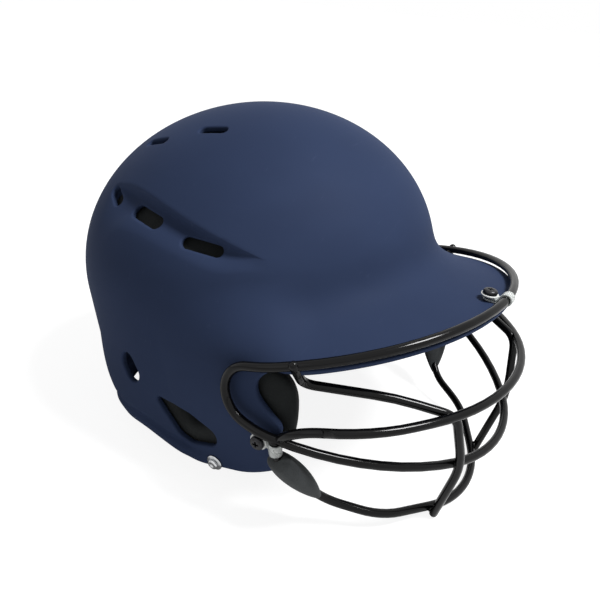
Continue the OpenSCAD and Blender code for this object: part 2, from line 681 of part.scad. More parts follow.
// The crown pad is a shallow dish under the top of the bowl
crown_reach = 26;
module crown_pad() {
    n = len(cushion_steps);
    function spot(r, k, inner) =
        under(360 * k / cushion_sides, bowl_h * cos(crown_reach * r), cushion_depth(r, pad_t, inner));
    function id(inner, i, k) =
        2 + (inner && i < n - 1 ? n * cushion_sides : 0) + i * cushion_sides + k % cushion_sides;
    color(foam)
        stand()
            polyhedron(
                points = concat([spot(0, 0, false), spot(0, 0, true)],
                    [for (i = [0:n - 1]) for (k = [0:cushion_sides - 1])
                        spot(cushion_steps[i], k, false)],
                    [for (i = [0:n - 2]) for (k = [0:cushion_sides - 1])
                        spot(cushion_steps[i], k, true)]),
                faces = concat(
                    [for (k = [0:cushion_sides - 1]) [0, id(false, 0, k), id(false, 0, k + 1)]],
                    [for (i = [0:n - 2]) for (k = [0:cushion_sides - 1])
                        each quad(id(false, i, k), id(false, i + 1, k),
                                  id(false, i + 1, k + 1), id(false, i, k + 1))],
                    [for (k = [0:cushion_sides - 1]) [1, id(true, 0, k + 1), id(true, 0, k)]],
                    [for (i = [0:n - 2]) for (k = [0:cushion_sides - 1])
                        each quad(id(true, i, k), id(true, i, k + 1),
                                  id(true, i + 1, k + 1), id(true, i + 1, k))]),
                convexity = 6
            );
}

// The ear pads stand out ahead of the flaps and have an opening for the ear
ear_pad_a = 77;
ear_pad_z = -57;
ear_well_l = 40;
ear_well_w = 25;
ear_pad_half_a = 25;
ear_pad_half_z = 29;
nut_room = 1.5;
module ear_pad(side) {
    color(foam)
        stand()
            difference() {
                cushion_at(side, ear_pad_a, ear_pad_z, ear_pad_half_a, ear_pad_half_z, ear_pad_t);
                on_skin(ear_pad_a + 5, ear_pad_z + 4, 0, side)
                    rotate([0, 0, 90])
                        long_hole(ear_well_l, ear_well_w, 80);
                on_skin(ear_screw_a, ear_screw_z, shell_t + nut_seat + nut_h / 2, side)
                    cylinder(d = nut_flange_d + 2 * nut_room, h = nut_h + 2 * nut_room, center = true);
            }
}
module ear_pad_right() { ear_pad(-1); }
module ear_pad_left() { ear_pad(1); }

// Places its children at p with z along o and x along the part of v that is square to o
module facing(p, o, v) {
    x = unit(v - (v * o) * o);
    y = cross(o, x);
    multmatrix([[x[0], y[0], o[0], p[0]], [x[1], y[1], o[1], p[1]], [x[2], y[2], o[2], p[2]]])
        children();
}

// Nylon clip: a doubled strip runs flat under its washer, at bearing a and level z, then on to a
// loop round the wire that passes through p along w
tab_t = 2 * clip_t;
module clip(a, z, p, w) {
    s = skin(a, z);
    o = skin_out(a, z);
    to_wire = p - s;
    away = norm(cross(to_wire, o));
    rise = to_wire * o;
    flat = washer_d / 2;
    difference() {
        union() {
            facing(s, o, to_wire) {
                translate([0, 0, gap])
                    cylinder(d = clip_w, h = tab_t);
                rotate([90, 0, 0])
                    linear_extrude(height = clip_w, center = true)
                        polygon([[0, gap], [flat, gap], [away, rise - clip_t], [away, rise + clip_t],
                                 [flat, gap + tab_t], [0, gap + tab_t]]);
            }
            facing(p, w, o)
                cylinder(r = wire_r + gap + clip_t, h = clip_w, center = true);
        }
        facing(s, o, to_wire)
            cylinder(d = screw_d + gap, h = 20, center = true);
        facing(p, w, o)
            cylinder(r = wire_r + gap, h = 2 * clip_w, center = true);
    }
}

module brim_clip() {
    color([0.86, 0.88, 0.87])
        stand()
            clip(0, brim_screw_z, [0, -brim_front, brim_wire_z], [1, 0, 0]);
}

// The ear clips' loops hang just below the weld of the chin bar
riser_way = unit(riser_low - riser_top);
ear_loop_drop = clip_w / 2 + wire_r + 0.9;
module ear_clip(side) {
    color([0.86, 0.88, 0.87])
        stand()
            mirror([side < 0 ? 1 : 0, 0, 0])
                clip(ear_screw_a, ear_screw_z, riser_top + riser_way * ear_loop_drop, riser_way);
}
module ear_clip_right() { ear_clip(-1); }
module ear_clip_left() { ear_clip(1); }

// Stack on each clip, outwards from the skin: clip, washer, screw head; the nut is inside
washer_t = 0.8;
nut_flange_d = 13;
nut_flange_t = 1.2;
nut_h = 5;
nut_seat = 0.7;
head_base = gap + tab_t + washer_t + 0.1;

module washer() {
    translate([0, 0, gap + tab_t + 0.05])
        difference() {
            cylinder(d = washer_d, h = washer_t);
            translate([0, 0, -1])
                cylinder(d = screw_d + gap, h = washer_t + 2);
        }
}

module screw() {
    shank = head_base + shell_t + nut_seat + nut_h;
    translate([0, 0, head_base])
        difference() {
            rotate_extrude()
                polygon(concat([[0, 0], [head_d / 2, 0], [head_d / 2, head_h * 0.45]],
                    [for (b = [15:15:75]) [head_d / 2 - head_h * 0.55 * (1 - cos(b)),
                                           head_h * (0.45 + 0.55 * sin(b))]],
                    [[0, head_h]]));
            translate([0, 0, head_h * 0.5])
                cylinder(r = head_d * 0.16, h = head_h);
        }
    translate([0, 0, head_base - shank])
        cylinder(d = screw_d, h = shank + 0.01);
}

module nut() {
    translate([0, 0, -shell_t - nut_seat - nut_h])
        difference() {
            union() {
                cylinder(d = screw_d + 3, h = nut_h);
                translate([0, 0, nut_h - nut_flange_t])
                    cylinder(d = nut_flange_d, h = nut_flange_t);
            }
            translate([0, 0, -1])
                cylinder(d = screw_d + 0.2, h = nut_h + 2);
        }
}

module at_brim() { stand() on_skin(0, brim_screw_z) children(); }
module at_ear(side) { stand() on_skin(ear_screw_a, ear_screw_z, 0, side) children(); }

module brim_washer() { color([0.88, 0.9, 0.89]) at_brim() washer(); }
module ear_washer_right() { color([0.88, 0.9, 0.89]) at_ear(-1) washer(); }
module ear_washer_left() { color([0.88, 0.9, 0.89]) at_ear(1) washer(); }
module brim_screw() { color([0.05, 0.05, 0.055]) at_brim() screw(); }
module ear_screw_right() { color([0.05, 0.05, 0.055]) at_ear(-1) screw(); }
module ear_screw_left() { color([0.05, 0.05, 0.055]) at_ear(1) screw(); }
module brim_nut() { color([0.7, 0.71, 0.72]) at_brim() nut(); }
module ear_nut_right() { color([0.7, 0.71, 0.72]) at_ear(-1) nut(); }
module ear_nut_left() { color([0.7, 0.71, 0.72]) at_ear(1) nut(); }

// Riveted stud that a chin strap snaps onto
module chin_stud(side) {
    flange_t = 0.8;
    flange_r = stud_d * 0.78;
    inner = shell_t + gap + flange_t;
    color([0.75, 0.76, 0.78])
        stand()
            on_skin(stud_a, stud_z, 0, side) {
                translate([0, 0, -inner])
                    cylinder(r = stud_neck_r, h = inner + stud_h * 0.6);
                translate([0, 0, -inner])
                    cylinder(r = flange_r, h = flange_t);
                translate([0, 0, gap])
                    cylinder(r = flange_r, h = flange_t);
                translate([0, 0, stud_h * 0.45])
                    cylinder(r = stud_d / 2, h = stud_h * 0.55);
            }
}
module chin_stud_right() { chin_stud(-1); }
module chin_stud_left() { chin_stud(1); }

// Leans the helmet back until the nape rim and the chin bar are on the same level
nape_y = bowl_l / 2 - rim_tuck;
rest_a = -chin_depth + nape_depth;
rest_b = nape_y + chin_reach;
lean = asin(wire_r / norm([rest_a, rest_b])) - atan2(rest_a, rest_b);
// Reach of the mouth bar and of the back of the bowl once it has leaned back
rest_front = mouth_reach * cos(lean) + mouth_depth * sin(lean) + wire_r;
rest_back = norm([bowl_l / 2 * cos(lean), bowl_h * sin(lean)]);
module stand() {
    translate([0, (rest_front - rest_back) / 2, nape_depth * cos(lean) + nape_y * sin(lean)])
        rotate([-lean, 0, 0])
            children();
}

shell();
crown_pad();
front_pad();
rear_pad();
side_pad_right();
side_pad_left();
ear_pad_right();
ear_pad_left();
guard_frame();
nose_bar();
chin_bar();
upright_right();
upright_left();
chin_pad_right();
chin_pad_left();
brim_clip();
ear_clip_right();
ear_clip_left();
brim_screw();
ear_screw_right();
ear_screw_left();
brim_washer();
ear_washer_right();
ear_washer_left();
brim_nut();
ear_nut_right();
ear_nut_left();
chin_stud_right();
chin_stud_left();
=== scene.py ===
"""Looks of a batting helmet with a wire face guard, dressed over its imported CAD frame.

Shapes are worked out in millimetres as the helmet is worn: the front is -Y, the crown is +Z and the
bowl's centre is the origin. stand() leans them back onto the nape rim and the chin bar, and turns
them into metres.
"""
import math

import bmesh
import bpy
import numpy as np
from mathutils import Matrix, Vector
from mathutils.kdtree import KDTree


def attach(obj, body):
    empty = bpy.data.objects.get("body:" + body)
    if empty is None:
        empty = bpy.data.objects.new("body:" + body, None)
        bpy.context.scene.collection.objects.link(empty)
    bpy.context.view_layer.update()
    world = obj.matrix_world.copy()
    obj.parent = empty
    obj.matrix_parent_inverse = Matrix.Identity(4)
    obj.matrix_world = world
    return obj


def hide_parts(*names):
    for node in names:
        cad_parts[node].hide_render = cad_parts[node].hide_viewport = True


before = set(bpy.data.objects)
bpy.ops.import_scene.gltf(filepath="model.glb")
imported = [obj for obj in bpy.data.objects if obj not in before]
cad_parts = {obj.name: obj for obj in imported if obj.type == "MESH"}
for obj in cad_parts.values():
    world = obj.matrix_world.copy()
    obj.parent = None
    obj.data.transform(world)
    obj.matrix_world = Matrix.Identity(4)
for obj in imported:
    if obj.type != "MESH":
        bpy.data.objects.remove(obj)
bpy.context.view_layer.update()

MM = 0.001

# Bowl
BOWL_W = 214.0
BOWL_L = 233.0
BOWL_H = 97.5
SHELL_T = 3.6
NAPE_DEPTH = 80.0
RIM_TUCK = 6.0
RIM_TUCK_SIDE = 0.6
REAR_BELLY = 1.6
BEAD_H = 1.5
BEAD_W = 9.0
BEAD_EDGE = 1.5
BEAD_FADE = 2.5
GROOVE = 0.8
GROOVE_W = 6.0

# Brim and ear flaps
BRIM_REACH = 46.5
BRIM_R = 117.0
BRIM_DROP = 29.5
BRIM_SWEEP = 3.2
SKIRT_BLEND = 4.0
FLARE_TOP = 10.0
FLAP_W = 217.0
FLAP_DEPTH = 98.0
FLAP_REAR = 112.0
FLAP_FULL = 80.0
NOTCH = [(0, 80), (3, 74.5), (6, 70.5), (10, 68.5), (16, 69), (21, 72), (26, 75.5), (31.5, 79.5),
         (37, 78), (43, 71.5), (50, 71), (57, 70), (70, 70)]

# Crease, channel and holes. A vent has a bearing, a drop below the crease, a tilt, and its shares of
# the full length and width; a slot has its level in place of the drop
CREASE_LOW = 20.0
CREASE_RISE = 43.0
CREASE_START = 51.0
CREASE_END = 108.0
CREASE_STEP = 3.0
CREASE_STEP_LOW = 0.8
CHANNEL_W = 17.0
CHANNEL_DEPTH = 5.0
CHANNEL_FADE = 5.0
CHANNEL_FOOT = 4.0
CHANNEL_CURVE = 1.6
VENT_L = 25.0
VENT_W = 8.0
SIDE_VENTS = [(68.5, 10, 20, 0.94, 0.82), (90.5, 10.7, 24, 1, 1), (111.5, 5.7, 40, 0.58, 0.82)]
SLOT_L = 20.0
SLOT_W = 5.0
CROWN_SLOTS = [(66.3, 84.6, 14, 0.9, 1.15), (107.5, 82.7, -2, 1, 1)]
REAR_SLOT_L = 18.5
REAR_SLOT_W = 12.5
REAR_SLOT = (104.0, -39.5, 65.0)
EAR_HOLE_L = 44.0
EAR_HOLE_W = 22.5
EAR_HOLE_TIP = 2.2
EAR_HOLE = (77.0, -76.0, 31.0)
HOLE_LIP = 1.2
EDGE_LIP = 1.5
HOLE_MARGIN = 4.5
SCREW_MARGIN = 2.0
OUTLINE_STEP = 1.1
FLAT_RINGS = 4
LIP_RINGS = 6

# Bearings from which the shell's forms come in or fade, and the spans over which they do
FLARE_FADE = (75, 55)
FLARE_SIDE = (40, 25)
BELLY_IN = (90, 25)
BEAD_IN = (74, 18)
CHANNEL_IN = (50, 14)
CHANNEL_OUT = (98, 20)

# Face guard: sizes of its bars with their front and ear arcs (radius and turn of each), then the
# places where its wires turn or end
WIRE_D = 5.0
GUARD_W = 225.0
EAR_BEND = 17.0
TOP_ARCS = (BRIM_R, 50, 50, 20)
MOUTH_REACH = 153.0
MOUTH_DEPTH = 111.0
MOUTH_FALL = 30.0
MOUTH_ARCS = (88, 30, 42, 20)
NOSE_REACH = 164.5
NOSE_DEPTH = 72.8
NOSE_FALL = 12.0
NOSE_ARCS = (118, 36, 40, 24)
CHIN_REACH = 130.5
CHIN_DEPTH = 148.0
CHIN_FALL = 32.5
UPRIGHT_GAP = 109.0
UPRIGHT_FOOT = 73.0
NOSE_TURN = 96.0
NOSE_STOP = 90.0
CHIN_FIRST = 31
CHIN_TURN_X = 19.5
CHIN_RUN_X = 67
CHIN_LOW_AT = (84.5, 95)
RISER_NOTCH = 46
RISER_RUN = (-0.5, 0, -10.5)
HANG_X = 106.6
HANG_RUN = (-15, 7, -17)
RUN_RISE = 3.0
KNEE_BEND = 12
SWEEP_BEND = 60

# Fastening
GAP = 0.3
SCREW_D = 4.0
SHANK_L = 14.0
HEAD_D = 8.0
HEAD_H = 2.6
RECESS_W = 0.55
RECESS_L = 2.1
RECESS_DEPTH = 1.5
RECESS_TAPER = 0.55
CLIP_W = 6.5
CLIP_T = 1.3
CLIP_TILT = 16
STRIP_T = 0.9
STRIP_GAP = 0.1
EAR_REACH = 9.2
WASHER_T = 0.8
NUT_FLANGE_D = 13.0
NUT_FLANGE_T = 1.2
NUT_H = 5.0
NUT_SEAT = 0.7
STUD_D = 6.4
STUD_H = 3.0
STUD_A = 77.0
STUD_LEVEL = 3.8
STUD_FLANGE_T = 0.8
SHARP_ANGLE = 32

# Padding: each pad's bearing and level, with its half spans
PAD_T = 11.0
PAD_GAP = 0.8
CUSHION_SEAT = 0.3
FRONT_PAD = (0, 24, 52, 21)
REAR_PAD = (180, -28, 48, 26)
SIDE_PAD = (90, 40, 33, 27)
CROWN_PAD_SPAN = 26
EAR_PAD = (77.0, -58.5, 26.0, 32.5)
EAR_PAD_T = 17.0
EAR_PAD_TAPER = 0.12
EAR_PAD_REAR = 0.78
EAR_WELL_AT = (5.0, 4.0)
EAR_WELL_L = 40.0
EAR_WELL_W = 25.0
NUT_ROOM = 1.4
NUT_ROOM_R = 7.5
NUT_ROOM_FADE = 4.0
CHIN_PAD_L = 47.0
CHIN_PAD_W = 20.0
CHIN_PAD_TOP = 1.0
CHIN_PAD_TIP = 0.06

# Worked out from the sizes above
WIRE_R = WIRE_D / 2
EDGE_X = FLAP_W / 2
GUARD_X = GUARD_W / 2
BRIM_FRONT = BOWL_L / 2 + BRIM_REACH
BRIM_BACK = BRIM_FRONT - BRIM_R
FLARE_RUN = FLARE_TOP + BRIM_DROP
BRIM_WIRE_Z = WIRE_R + STRIP_T + GAP - BRIM_DROP
WASHER_D = HEAD_D + 1.8
CLIP_REACH = WASHER_D / 2 + WIRE_R + CLIP_T + 1.6
LOOP_DROP = CLIP_W / 2 + 1.0
HEAD_BASE = GAP + 2 * CLIP_T + WASHER_T + 0.1
WELD = WIRE_D * 0.88
WELD_IN = WIRE_R * 0.6


def ease(v):
    c = np.clip(v, 0, 1)
    return c * c * (3 - 2 * c)


def over(a, fade):
    """How far a form has come in at a bearing, from 0 to 1."""
    return ease((np.abs(a) - fade[0]) / fade[1])


def mix(a, b, k):
    return a + (b - a) * k


def unit(v):
    v = np.asarray(v, float)
    return v / np.linalg.norm(v, axis=-1, keepdims=True)


def sin(a):
    return np.sin(np.radians(a))


def cos(a):
    return np.cos(np.radians(a))


def sided(p, side):
    """Points as they are for side 1, and mirrored for side -1."""
    return np.asarray(p, float) * [side, 1, 1]


SIDES = (("right", -1), ("left", 1))

# The helmet leans back until its nape rim and its chin bar are on the same level
NAPE_Y = BOWL_L / 2 - RIM_TUCK
REST_A = NAPE_DEPTH - CHIN_DEPTH
REST_B = NAPE_Y + CHIN_REACH
LEAN = math.asin(WIRE_R / math.hypot(REST_A, REST_B)) - math.atan2(REST_A, REST_B)
REST_FRONT = MOUTH_REACH * math.cos(LEAN) + MOUTH_DEPTH * math.sin(LEAN) + WIRE_R
REST_BACK = math.hypot(BOWL_L / 2 * math.cos(LEAN), BOWL_H * math.sin(LEAN))


def stand(p):
    """Rest position, in metres, of points given as worn, in millimetres."""
    p = np.asarray(p, float)
    y = p[..., 1] * math.cos(LEAN) + p[..., 2] * math.sin(LEAN) + (REST_FRONT - REST_BACK) / 2
    z = p[..., 2] * math.cos(LEAN) - p[..., 1] * math.sin(LEAN)
    z = z + NAPE_DEPTH * math.cos(LEAN) + NAPE_Y * math.sin(LEAN)
    return np.stack([p[..., 0], y, z], axis=-1) * MM


# Camera, from the photograph's perspective
IMAGE_PX = 600
FOCAL_PX = 635.0
SENSOR = 36.0
CAMERA_AT = (-0.32976, -0.19021, 0.26545)
CAMERA_BACK = (-0.78514, -0.44683, 0.42886)
CAMERA_RIGHT = (0.5305, -0.8426, 0.0935)


def make_camera():
    data = bpy.data.cameras.new("camera")
    data.sensor_width = SENSOR
    data.lens = FOCAL_PX / IMAGE_PX * SENSOR
    data.clip_start = 0.01
    camera = bpy.data.objects.new("camera", data)
    bpy.context.collection.objects.link(camera)
    back = Vector(CAMERA_BACK).normalized()
    right = (Vector(CAMERA_RIGHT) - Vector(CAMERA_RIGHT).dot(back) * back).normalized()
    turn = Matrix((right, back.cross(right), back)).transposed()
    camera.matrix_world = Matrix.Translation(CAMERA_AT) @ turn.to_4x4()
    bpy.context.scene.camera = camera


make_camera()


# Materials

def srgb(r, g, b):
    """Linear colour of a screen colour given from 0 to 255."""
    def linear(v):
        v = v / 255
        return v / 12.92 if v <= 0.04045 else ((v + 0.055) / 1.055) ** 2.4
    return (linear(r), linear(g), linear(b), 1.0)


class Nodes:
    """A node tree, with a short way to add linked nodes."""

    def __init__(self, owner):
        owner.use_nodes = True
        self.tree = owner.node_tree

    def put(self, node, inputs):
        for key, value in inputs.items():
            if isinstance(value, bpy.types.NodeSocket):
                self.tree.links.new(value, node.inputs[key])
            else:
                node.inputs[key].default_value = value

    def node(self, kind, inputs, output, settings=None):
        made = self.tree.nodes.new(kind)
        for key, value in (settings or {}).items():
            setattr(made, key, value)
        self.put(made, inputs)
        return made.outputs[output]

    def math(self, operation, a, b):
        return self.node("ShaderNodeMath", {0: a, 1: b}, 0, {"operation": operation})

    def level(self, fac, low, high, to_low=0.0, to_high=1.0):
        inputs = {"Value": fac, "From Min": low, "From Max": high, "To Min": to_low, "To Max": to_high}
        return self.node("ShaderNodeMapRange", inputs, "Result")


class Finish(Nodes):
    """A material, with the patterns, blends and bumps that its shader needs."""

    def __init__(self, name, values):
        self.material = bpy.data.materials.new(name)
        super().__init__(self.material)
        self.shader = self.tree.nodes["Principled BSDF"]
        self.put(self.shader, values)
        self.place = self.node("ShaderNodeTexCoord", {}, "Object")

    def stretched(self, scale):
        return self.node("ShaderNodeMapping", {"Vector": self.place, "Scale": scale}, 0)

    def noise(self, scale, detail, rough, where=None):
        inputs = {"Vector": where or self.place, "Scale": scale, "Detail": detail, "Roughness": rough}
        return self.node("ShaderNodeTexNoise", inputs, "Fac")

    def cells(self, scale):
        inputs = {"Vector": self.place, "Scale": scale}
        return self.node("ShaderNodeTexVoronoi", inputs, "Distance", {"feature": "F1"})

    def blend(self, fac, a, b):
        return self.node("ShaderNodeMix", {0: fac, 6: a, 7: b}, 2, {"data_type": "RGBA"})

    def bump(self, height, strength, distance, under=None):
        inputs = {"Height": height, "Strength": strength, "Distance": distance}
        if under is not None:
            inputs["Normal"] = under
        return self.node("ShaderNodeBump", inputs, "Normal")

    def done(self, colour, rough, normal):
        self.put(self.shader, {"Base Color": colour, "Roughness": rough, "Normal": normal})
        return self.material


def shell_plastic():
    """Matte navy moulding: a fine grain, faint flow marks and light handling scuffs."""
    f = Finish("shell_plastic", {"IOR": 1.5, "Specular IOR Level": 0.02})
    flow = f.noise(9, 3, 0.5, f.stretched((1, 1, 2.4)))
    tone = f.blend(f.level(flow, 0.3, 0.7), srgb(42, 52, 76), srgb(47, 58, 84))
    scuff = f.noise(70, 6, 0.75, f.stretched((1, 6, 1.6)))
    colour = f.blend(f.level(scuff, 0.62, 0.78, 0.0, 0.22), tone, srgb(80, 91, 118))
    grain = f.noise(1900, 2, 0.6)
    rough = f.math("ADD", f.level(flow, 0.2, 0.8, 0.52, 0.58), f.level(grain, 0.3, 0.7, 0.0, 0.06))
    soft = f.bump(f.noise(46, 2, 0.4), 0.12, 0.0006)
    return f.done(colour, rough, f.bump(grain, 0.16, 0.00012, soft))


def coated_wire():
    """Glossy black dipped coating over steel wire, slightly uneven as such coats are."""
    f = Finish("coated_wire", {"IOR": 1.5, "Specular IOR Level": 0.14, "Coat Weight": 0.1,
                               "Coat Roughness": 0.03})
    dust = f.level(f.noise(120, 4, 0.6), 0.5, 0.8, 0.0, 0.3)
    rough = f.level(f.noise(60, 3, 0.5), 0.3, 0.7, 0.1, 0.2)
    drips = f.bump(f.noise(95, 2, 0.4), 0.2, 0.0006)
    skin_bump = f.bump(f.noise(700, 2, 0.5), 0.06, 0.0001, drips)
    return f.done(f.blend(dust, srgb(8, 8, 9), srgb(18, 19, 21)), rough, skin_bump)


def foam(name, dark, light, cell_scale):
    """Closed-cell foam with its fine pores and a soft, uneven skin."""
    f = Finish(name, {"Sheen Weight": 0.06, "Sheen Roughness": 0.5, "Specular IOR Level": 0.1})
    cloud = f.noise(38, 4, 0.6)
    pores = f.cells(cell_scale)
    tone = f.blend(f.level(cloud, 0.3, 0.7), dark, light)
    colour = f.blend(f.level(pores, 0.0, 0.35, 0.35, 0.0), tone, (0.004, 0.004, 0.004, 1))
    soft = f.bump(cloud, 0.3, 0.0012)
    return f.done(colour, f.level(cloud, 0.3, 0.7, 0.72, 0.9), f.bump(pores, 0.35, 0.0003, soft))


def nylon(name, colour, clear):
    """Milky nylon, with faint moulding swirls."""
    f = Finish(name, {"Transmission Weight": clear, "IOR": 1.46, "Subsurface Weight": 0.25,
                      "Subsurface Radius": (0.002, 0.002, 0.002)})
    swirl = f.noise(150, 4, 0.6)
    shade = tuple(0.86 * v for v in colour[:3]) + (1.0,)
    rough = f.level(swirl, 0.3, 0.7, 0.2, 0.34)
    return f.done(f.blend(f.level(swirl, 0.35, 0.7), colour, shade), rough,
                  f.bump(f.noise(900, 2, 0.5), 0.08, 0.0001))


def metal(name, dark, light, low, high, metallic):
    """Plated or blackened steel with fine turning marks and a little handling wear."""
    f = Finish(name, {"Metallic": metallic})
    wear = f.noise(420, 5, 0.65)
    return f.done(f.blend(f.level(wear, 0.35, 0.75), dark, light), f.level(wear, 0.3, 0.7, low, high),
                  f.bump(f.noise(2600, 2, 0.5), 0.1, 0.00008))


FINISHES = {
    "shell_plastic": shell_plastic(),
    "coated_wire": coated_wire(),
    "liner_foam": foam("liner_foam", srgb(27, 29, 30), srgb(39, 42, 42), 1500),
    "chin_foam": foam("chin_foam", srgb(54, 56, 58), srgb(68, 71, 72), 1300),
    "clip_nylon": nylon("clip_nylon", srgb(226, 230, 228), 0.45),
    "washer_nylon": nylon("washer_nylon", srgb(232, 234, 232), 0.1),
    "screw_steel": metal("screw_steel", srgb(24, 24, 26), srgb(52, 52, 56), 0.24, 0.4, 0.6),
    "nut_steel": metal("nut_steel", srgb(176, 178, 180), srgb(206, 208, 210), 0.2, 0.34, 1.0),
    "stud_steel": metal("stud_steel", srgb(186, 188, 190), srgb(222, 223, 224), 0.12, 0.24, 1.0),
}


# Pieces

def strip(a, b, n):
    """Quads between two rings of n points whose first indices are a and b."""
    return [(a + k, a + (k + 1) % n, b + (k + 1) % n, b + k) for k in range(n)]


def tube(rings, n, first=0):
    """Quads along rings of n points each."""
    return [quad for i in range(rings - 1) for quad in strip(first + i * n, first + (i + 1) * n, n)]


def fan(tip, a, n):
    return [(tip, a + k, a + (k + 1) % n) for k in range(n)]


def capped(rings, n):
    """Faces of a single point, rings of n points each, and another single point."""
    last = 1 + rings * n
    return fan(0, 1, n) + tube(rings, n, 1) + fan(last, last - n, n)


def angles(count):
    return np.linspace(0, 360, count, endpoint=False)


def turn_out(mesh):
    """Makes the faces of a closed mesh look outwards."""
    shape = bmesh.new()
    shape.from_mesh(mesh)
    bmesh.ops.recalc_face_normals(shape, faces=shape.faces)
    shape.to_mesh(mesh)
    shape.free()


def add_piece(name, shape, slot, node, side=1):
    """A piece made of points as worn and faces, in the place of a CAD node."""
    points, faces = shape
    mesh = bpy.data.meshes.new(name)
    mesh.from_pydata(stand(sided(points, side)).tolist(), [], [tuple(map(int, f)) for f in faces])
    mesh.validate()
    turn_out(mesh)
    mesh.polygons.foreach_set("use_smooth", [True] * len(mesh.polygons))
    mesh.materials.append(FINISHES[slot])
    piece = bpy.data.objects.new(name, mesh)
    bpy.context.collection.objects.link(piece)
    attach(piece, "root")
    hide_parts(node)
    return piece


# The skin of the shell: a point for each bearing a, 0 at the front and 180 at the nape, and level z

def bowl_plan(a):
    return 1 / np.hypot(sin(a) / BOWL_W * 2, cos(a) / BOWL_L * 2)


def brim_plan(a):
    return BRIM_BACK * cos(a) + np.sqrt(BRIM_R ** 2 - (BRIM_BACK * sin(a)) ** 2)


def flap_plan(a):
    return EDGE_X / np.maximum(0.3, np.abs(sin(a)))


def soft_min(a, b, k):
    return (a + b - np.sqrt((a - b) ** 2 + k * k)) / 2


def skirt_plan(a):
    return soft_min(brim_plan(a), flap_plan(a), SKIRT_BLEND)


def flare(a):
    return np.maximum(0, skirt_plan(a) - bowl_plan(a)) * (1 - over(a, FLARE_FADE))


def flare_share(a, z):
    t = np.clip((FLARE_TOP - z) / FLARE_RUN, 0, 1)
    return mix(t ** BRIM_SWEEP, ease(t), over(a, FLARE_SIDE))


def tuck(a, z):
    """The wall tucks in towards the rim; behind the ears it first bellies out a little."""
    t = np.maximum(0, -z - BRIM_DROP) / (NAPE_DEPTH - BRIM_DROP)
    rear = over(a, BELLY_IN)
    inward = RIM_TUCK * mix(1, RIM_TUCK_SIDE, sin(a) ** 2) * t ** (2 + 2 * rear)
    return inward - REAR_BELLY * rear * sin(180 * np.minimum(1, t))


def skin(a, z):
    dome = np.sqrt(np.maximum(0, 1 - (np.maximum(z, 0) / BOWL_H) ** 2))
    r = bowl_plan(a) * dome + flare(a) * flare_share(a, z) - np.where(z > 0, 0, tuck(a, z))
    return np.stack([r * sin(a), -r * cos(a), z + 0 * r], axis=-1)


def skin_out(a, z):
    a, z = np.asarray(a, float), np.asarray(z, float)
    p = skin(a, z)
    dome = p / [(BOWL_W / 2) ** 2, (BOWL_L / 2) ** 2, BOWL_H ** 2]
    z_low = np.minimum(z, FLARE_TOP)
    along = skin(a + 0.5, z_low) - skin(a - 0.5, z_low)
    up = skin(a, z_low + 0.3) - skin(a, z_low - 0.3)
    return unit(np.where((z > FLARE_TOP)[..., None], dome, np.cross(along, up)))


def crease_z(a):
    turn = np.clip((np.abs(a) - CREASE_START) / (CREASE_END - CREASE_START), 0, 1)
    return CREASE_LOW + CREASE_RISE * sin(90 * turn)


def channel(a):
    return over(a, CHANNEL_IN) * (1 - over(a, CHANNEL_OUT))


def rim_z(a):
    return -mix(NAPE_DEPTH, FLAP_DEPTH, ease((FLAP_REAR - np.abs(a)) / (FLAP_REAR - FLAP_FULL)))


def notch_y(depth):
    """Smooth curve through the notch's points."""
    x, y = (np.array(v, float) for v in zip(*NOTCH))
    slope = np.gradient(y, x)
    d = np.clip(depth, x[0], x[-1])
    i = np.clip(np.searchsorted(x, d, side="right") - 1, 0, len(x) - 2)
    h = x[i + 1] - x[i]
    t = (d - x[i]) / h
    a = y[i] * (1 + 2 * t) * (1 - t) ** 2 + slope[i] * h * t * (1 - t) ** 2
    return a + y[i + 1] * t * t * (3 - 2 * t) - slope[i + 1] * h * t * t * (1 - t)


def front_bearing(z):
    return np.degrees(np.arctan2(EDGE_X, notch_y(-BRIM_DROP - z)))


CORNER = float(front_bearing(-BRIM_DROP))


def step_z(a):
    return crease_z(a) - CREASE_STEP * channel(a) - CREASE_STEP_LOW


def channel_low(a):
    """Level of the channel's foot; where there is no channel, a level between step and flare."""
    foot = -soft_min(-FLARE_TOP - CHANNEL_FOOT, CHANNEL_FADE + CHANNEL_W - crease_z(a), CHANNEL_FADE)
    return mix(mix(FLARE_TOP, step_z(a), 0.35), foot, channel(a))


def sink(a, z):
    """Depth of the outer face below the skin: the channel, and the groove and bead at the rim."""
    top, foot, low = crease_z(a), step_z(a), channel_low(a)
    edge = ease((top - z) / (top - foot))
    bowl = np.maximum(0, cos(90 * np.clip((foot - z) / (foot - low), 0, 1))) ** CHANNEL_CURVE
    side = CHANNEL_DEPTH * channel(a) * np.where(z > foot, edge, bowl)
    above = z - rim_z(a)
    rear = over(a, BEAD_IN)
    bead = BEAD_H * (1 - ease(1 - above / BEAD_EDGE)) * ease((BEAD_W - above) / BEAD_FADE)
    groove = GROOVE * ease(1 - np.abs(above - BEAD_W) / GROOVE_W)
    groove = groove * ease((above - BEAD_W + BEAD_FADE) / BEAD_FADE)
    return np.where(z > -BRIM_DROP, side, rear * (groove - bead))


def under(a, z, depth):
    """Points at a depth below the outer face."""
    a, z = np.asarray(a, float), np.asarray(z, float)
    return skin(a, z) - skin_out(a, z) * np.asarray(depth + sink(a, z))[..., None]


# Wires: their routes come first, because the ear clips' screws go through the shell

BEND_STEP = 5.0
WIRE_SIDES = 20
CAP_STEPS = [25, 50, 72, 86]


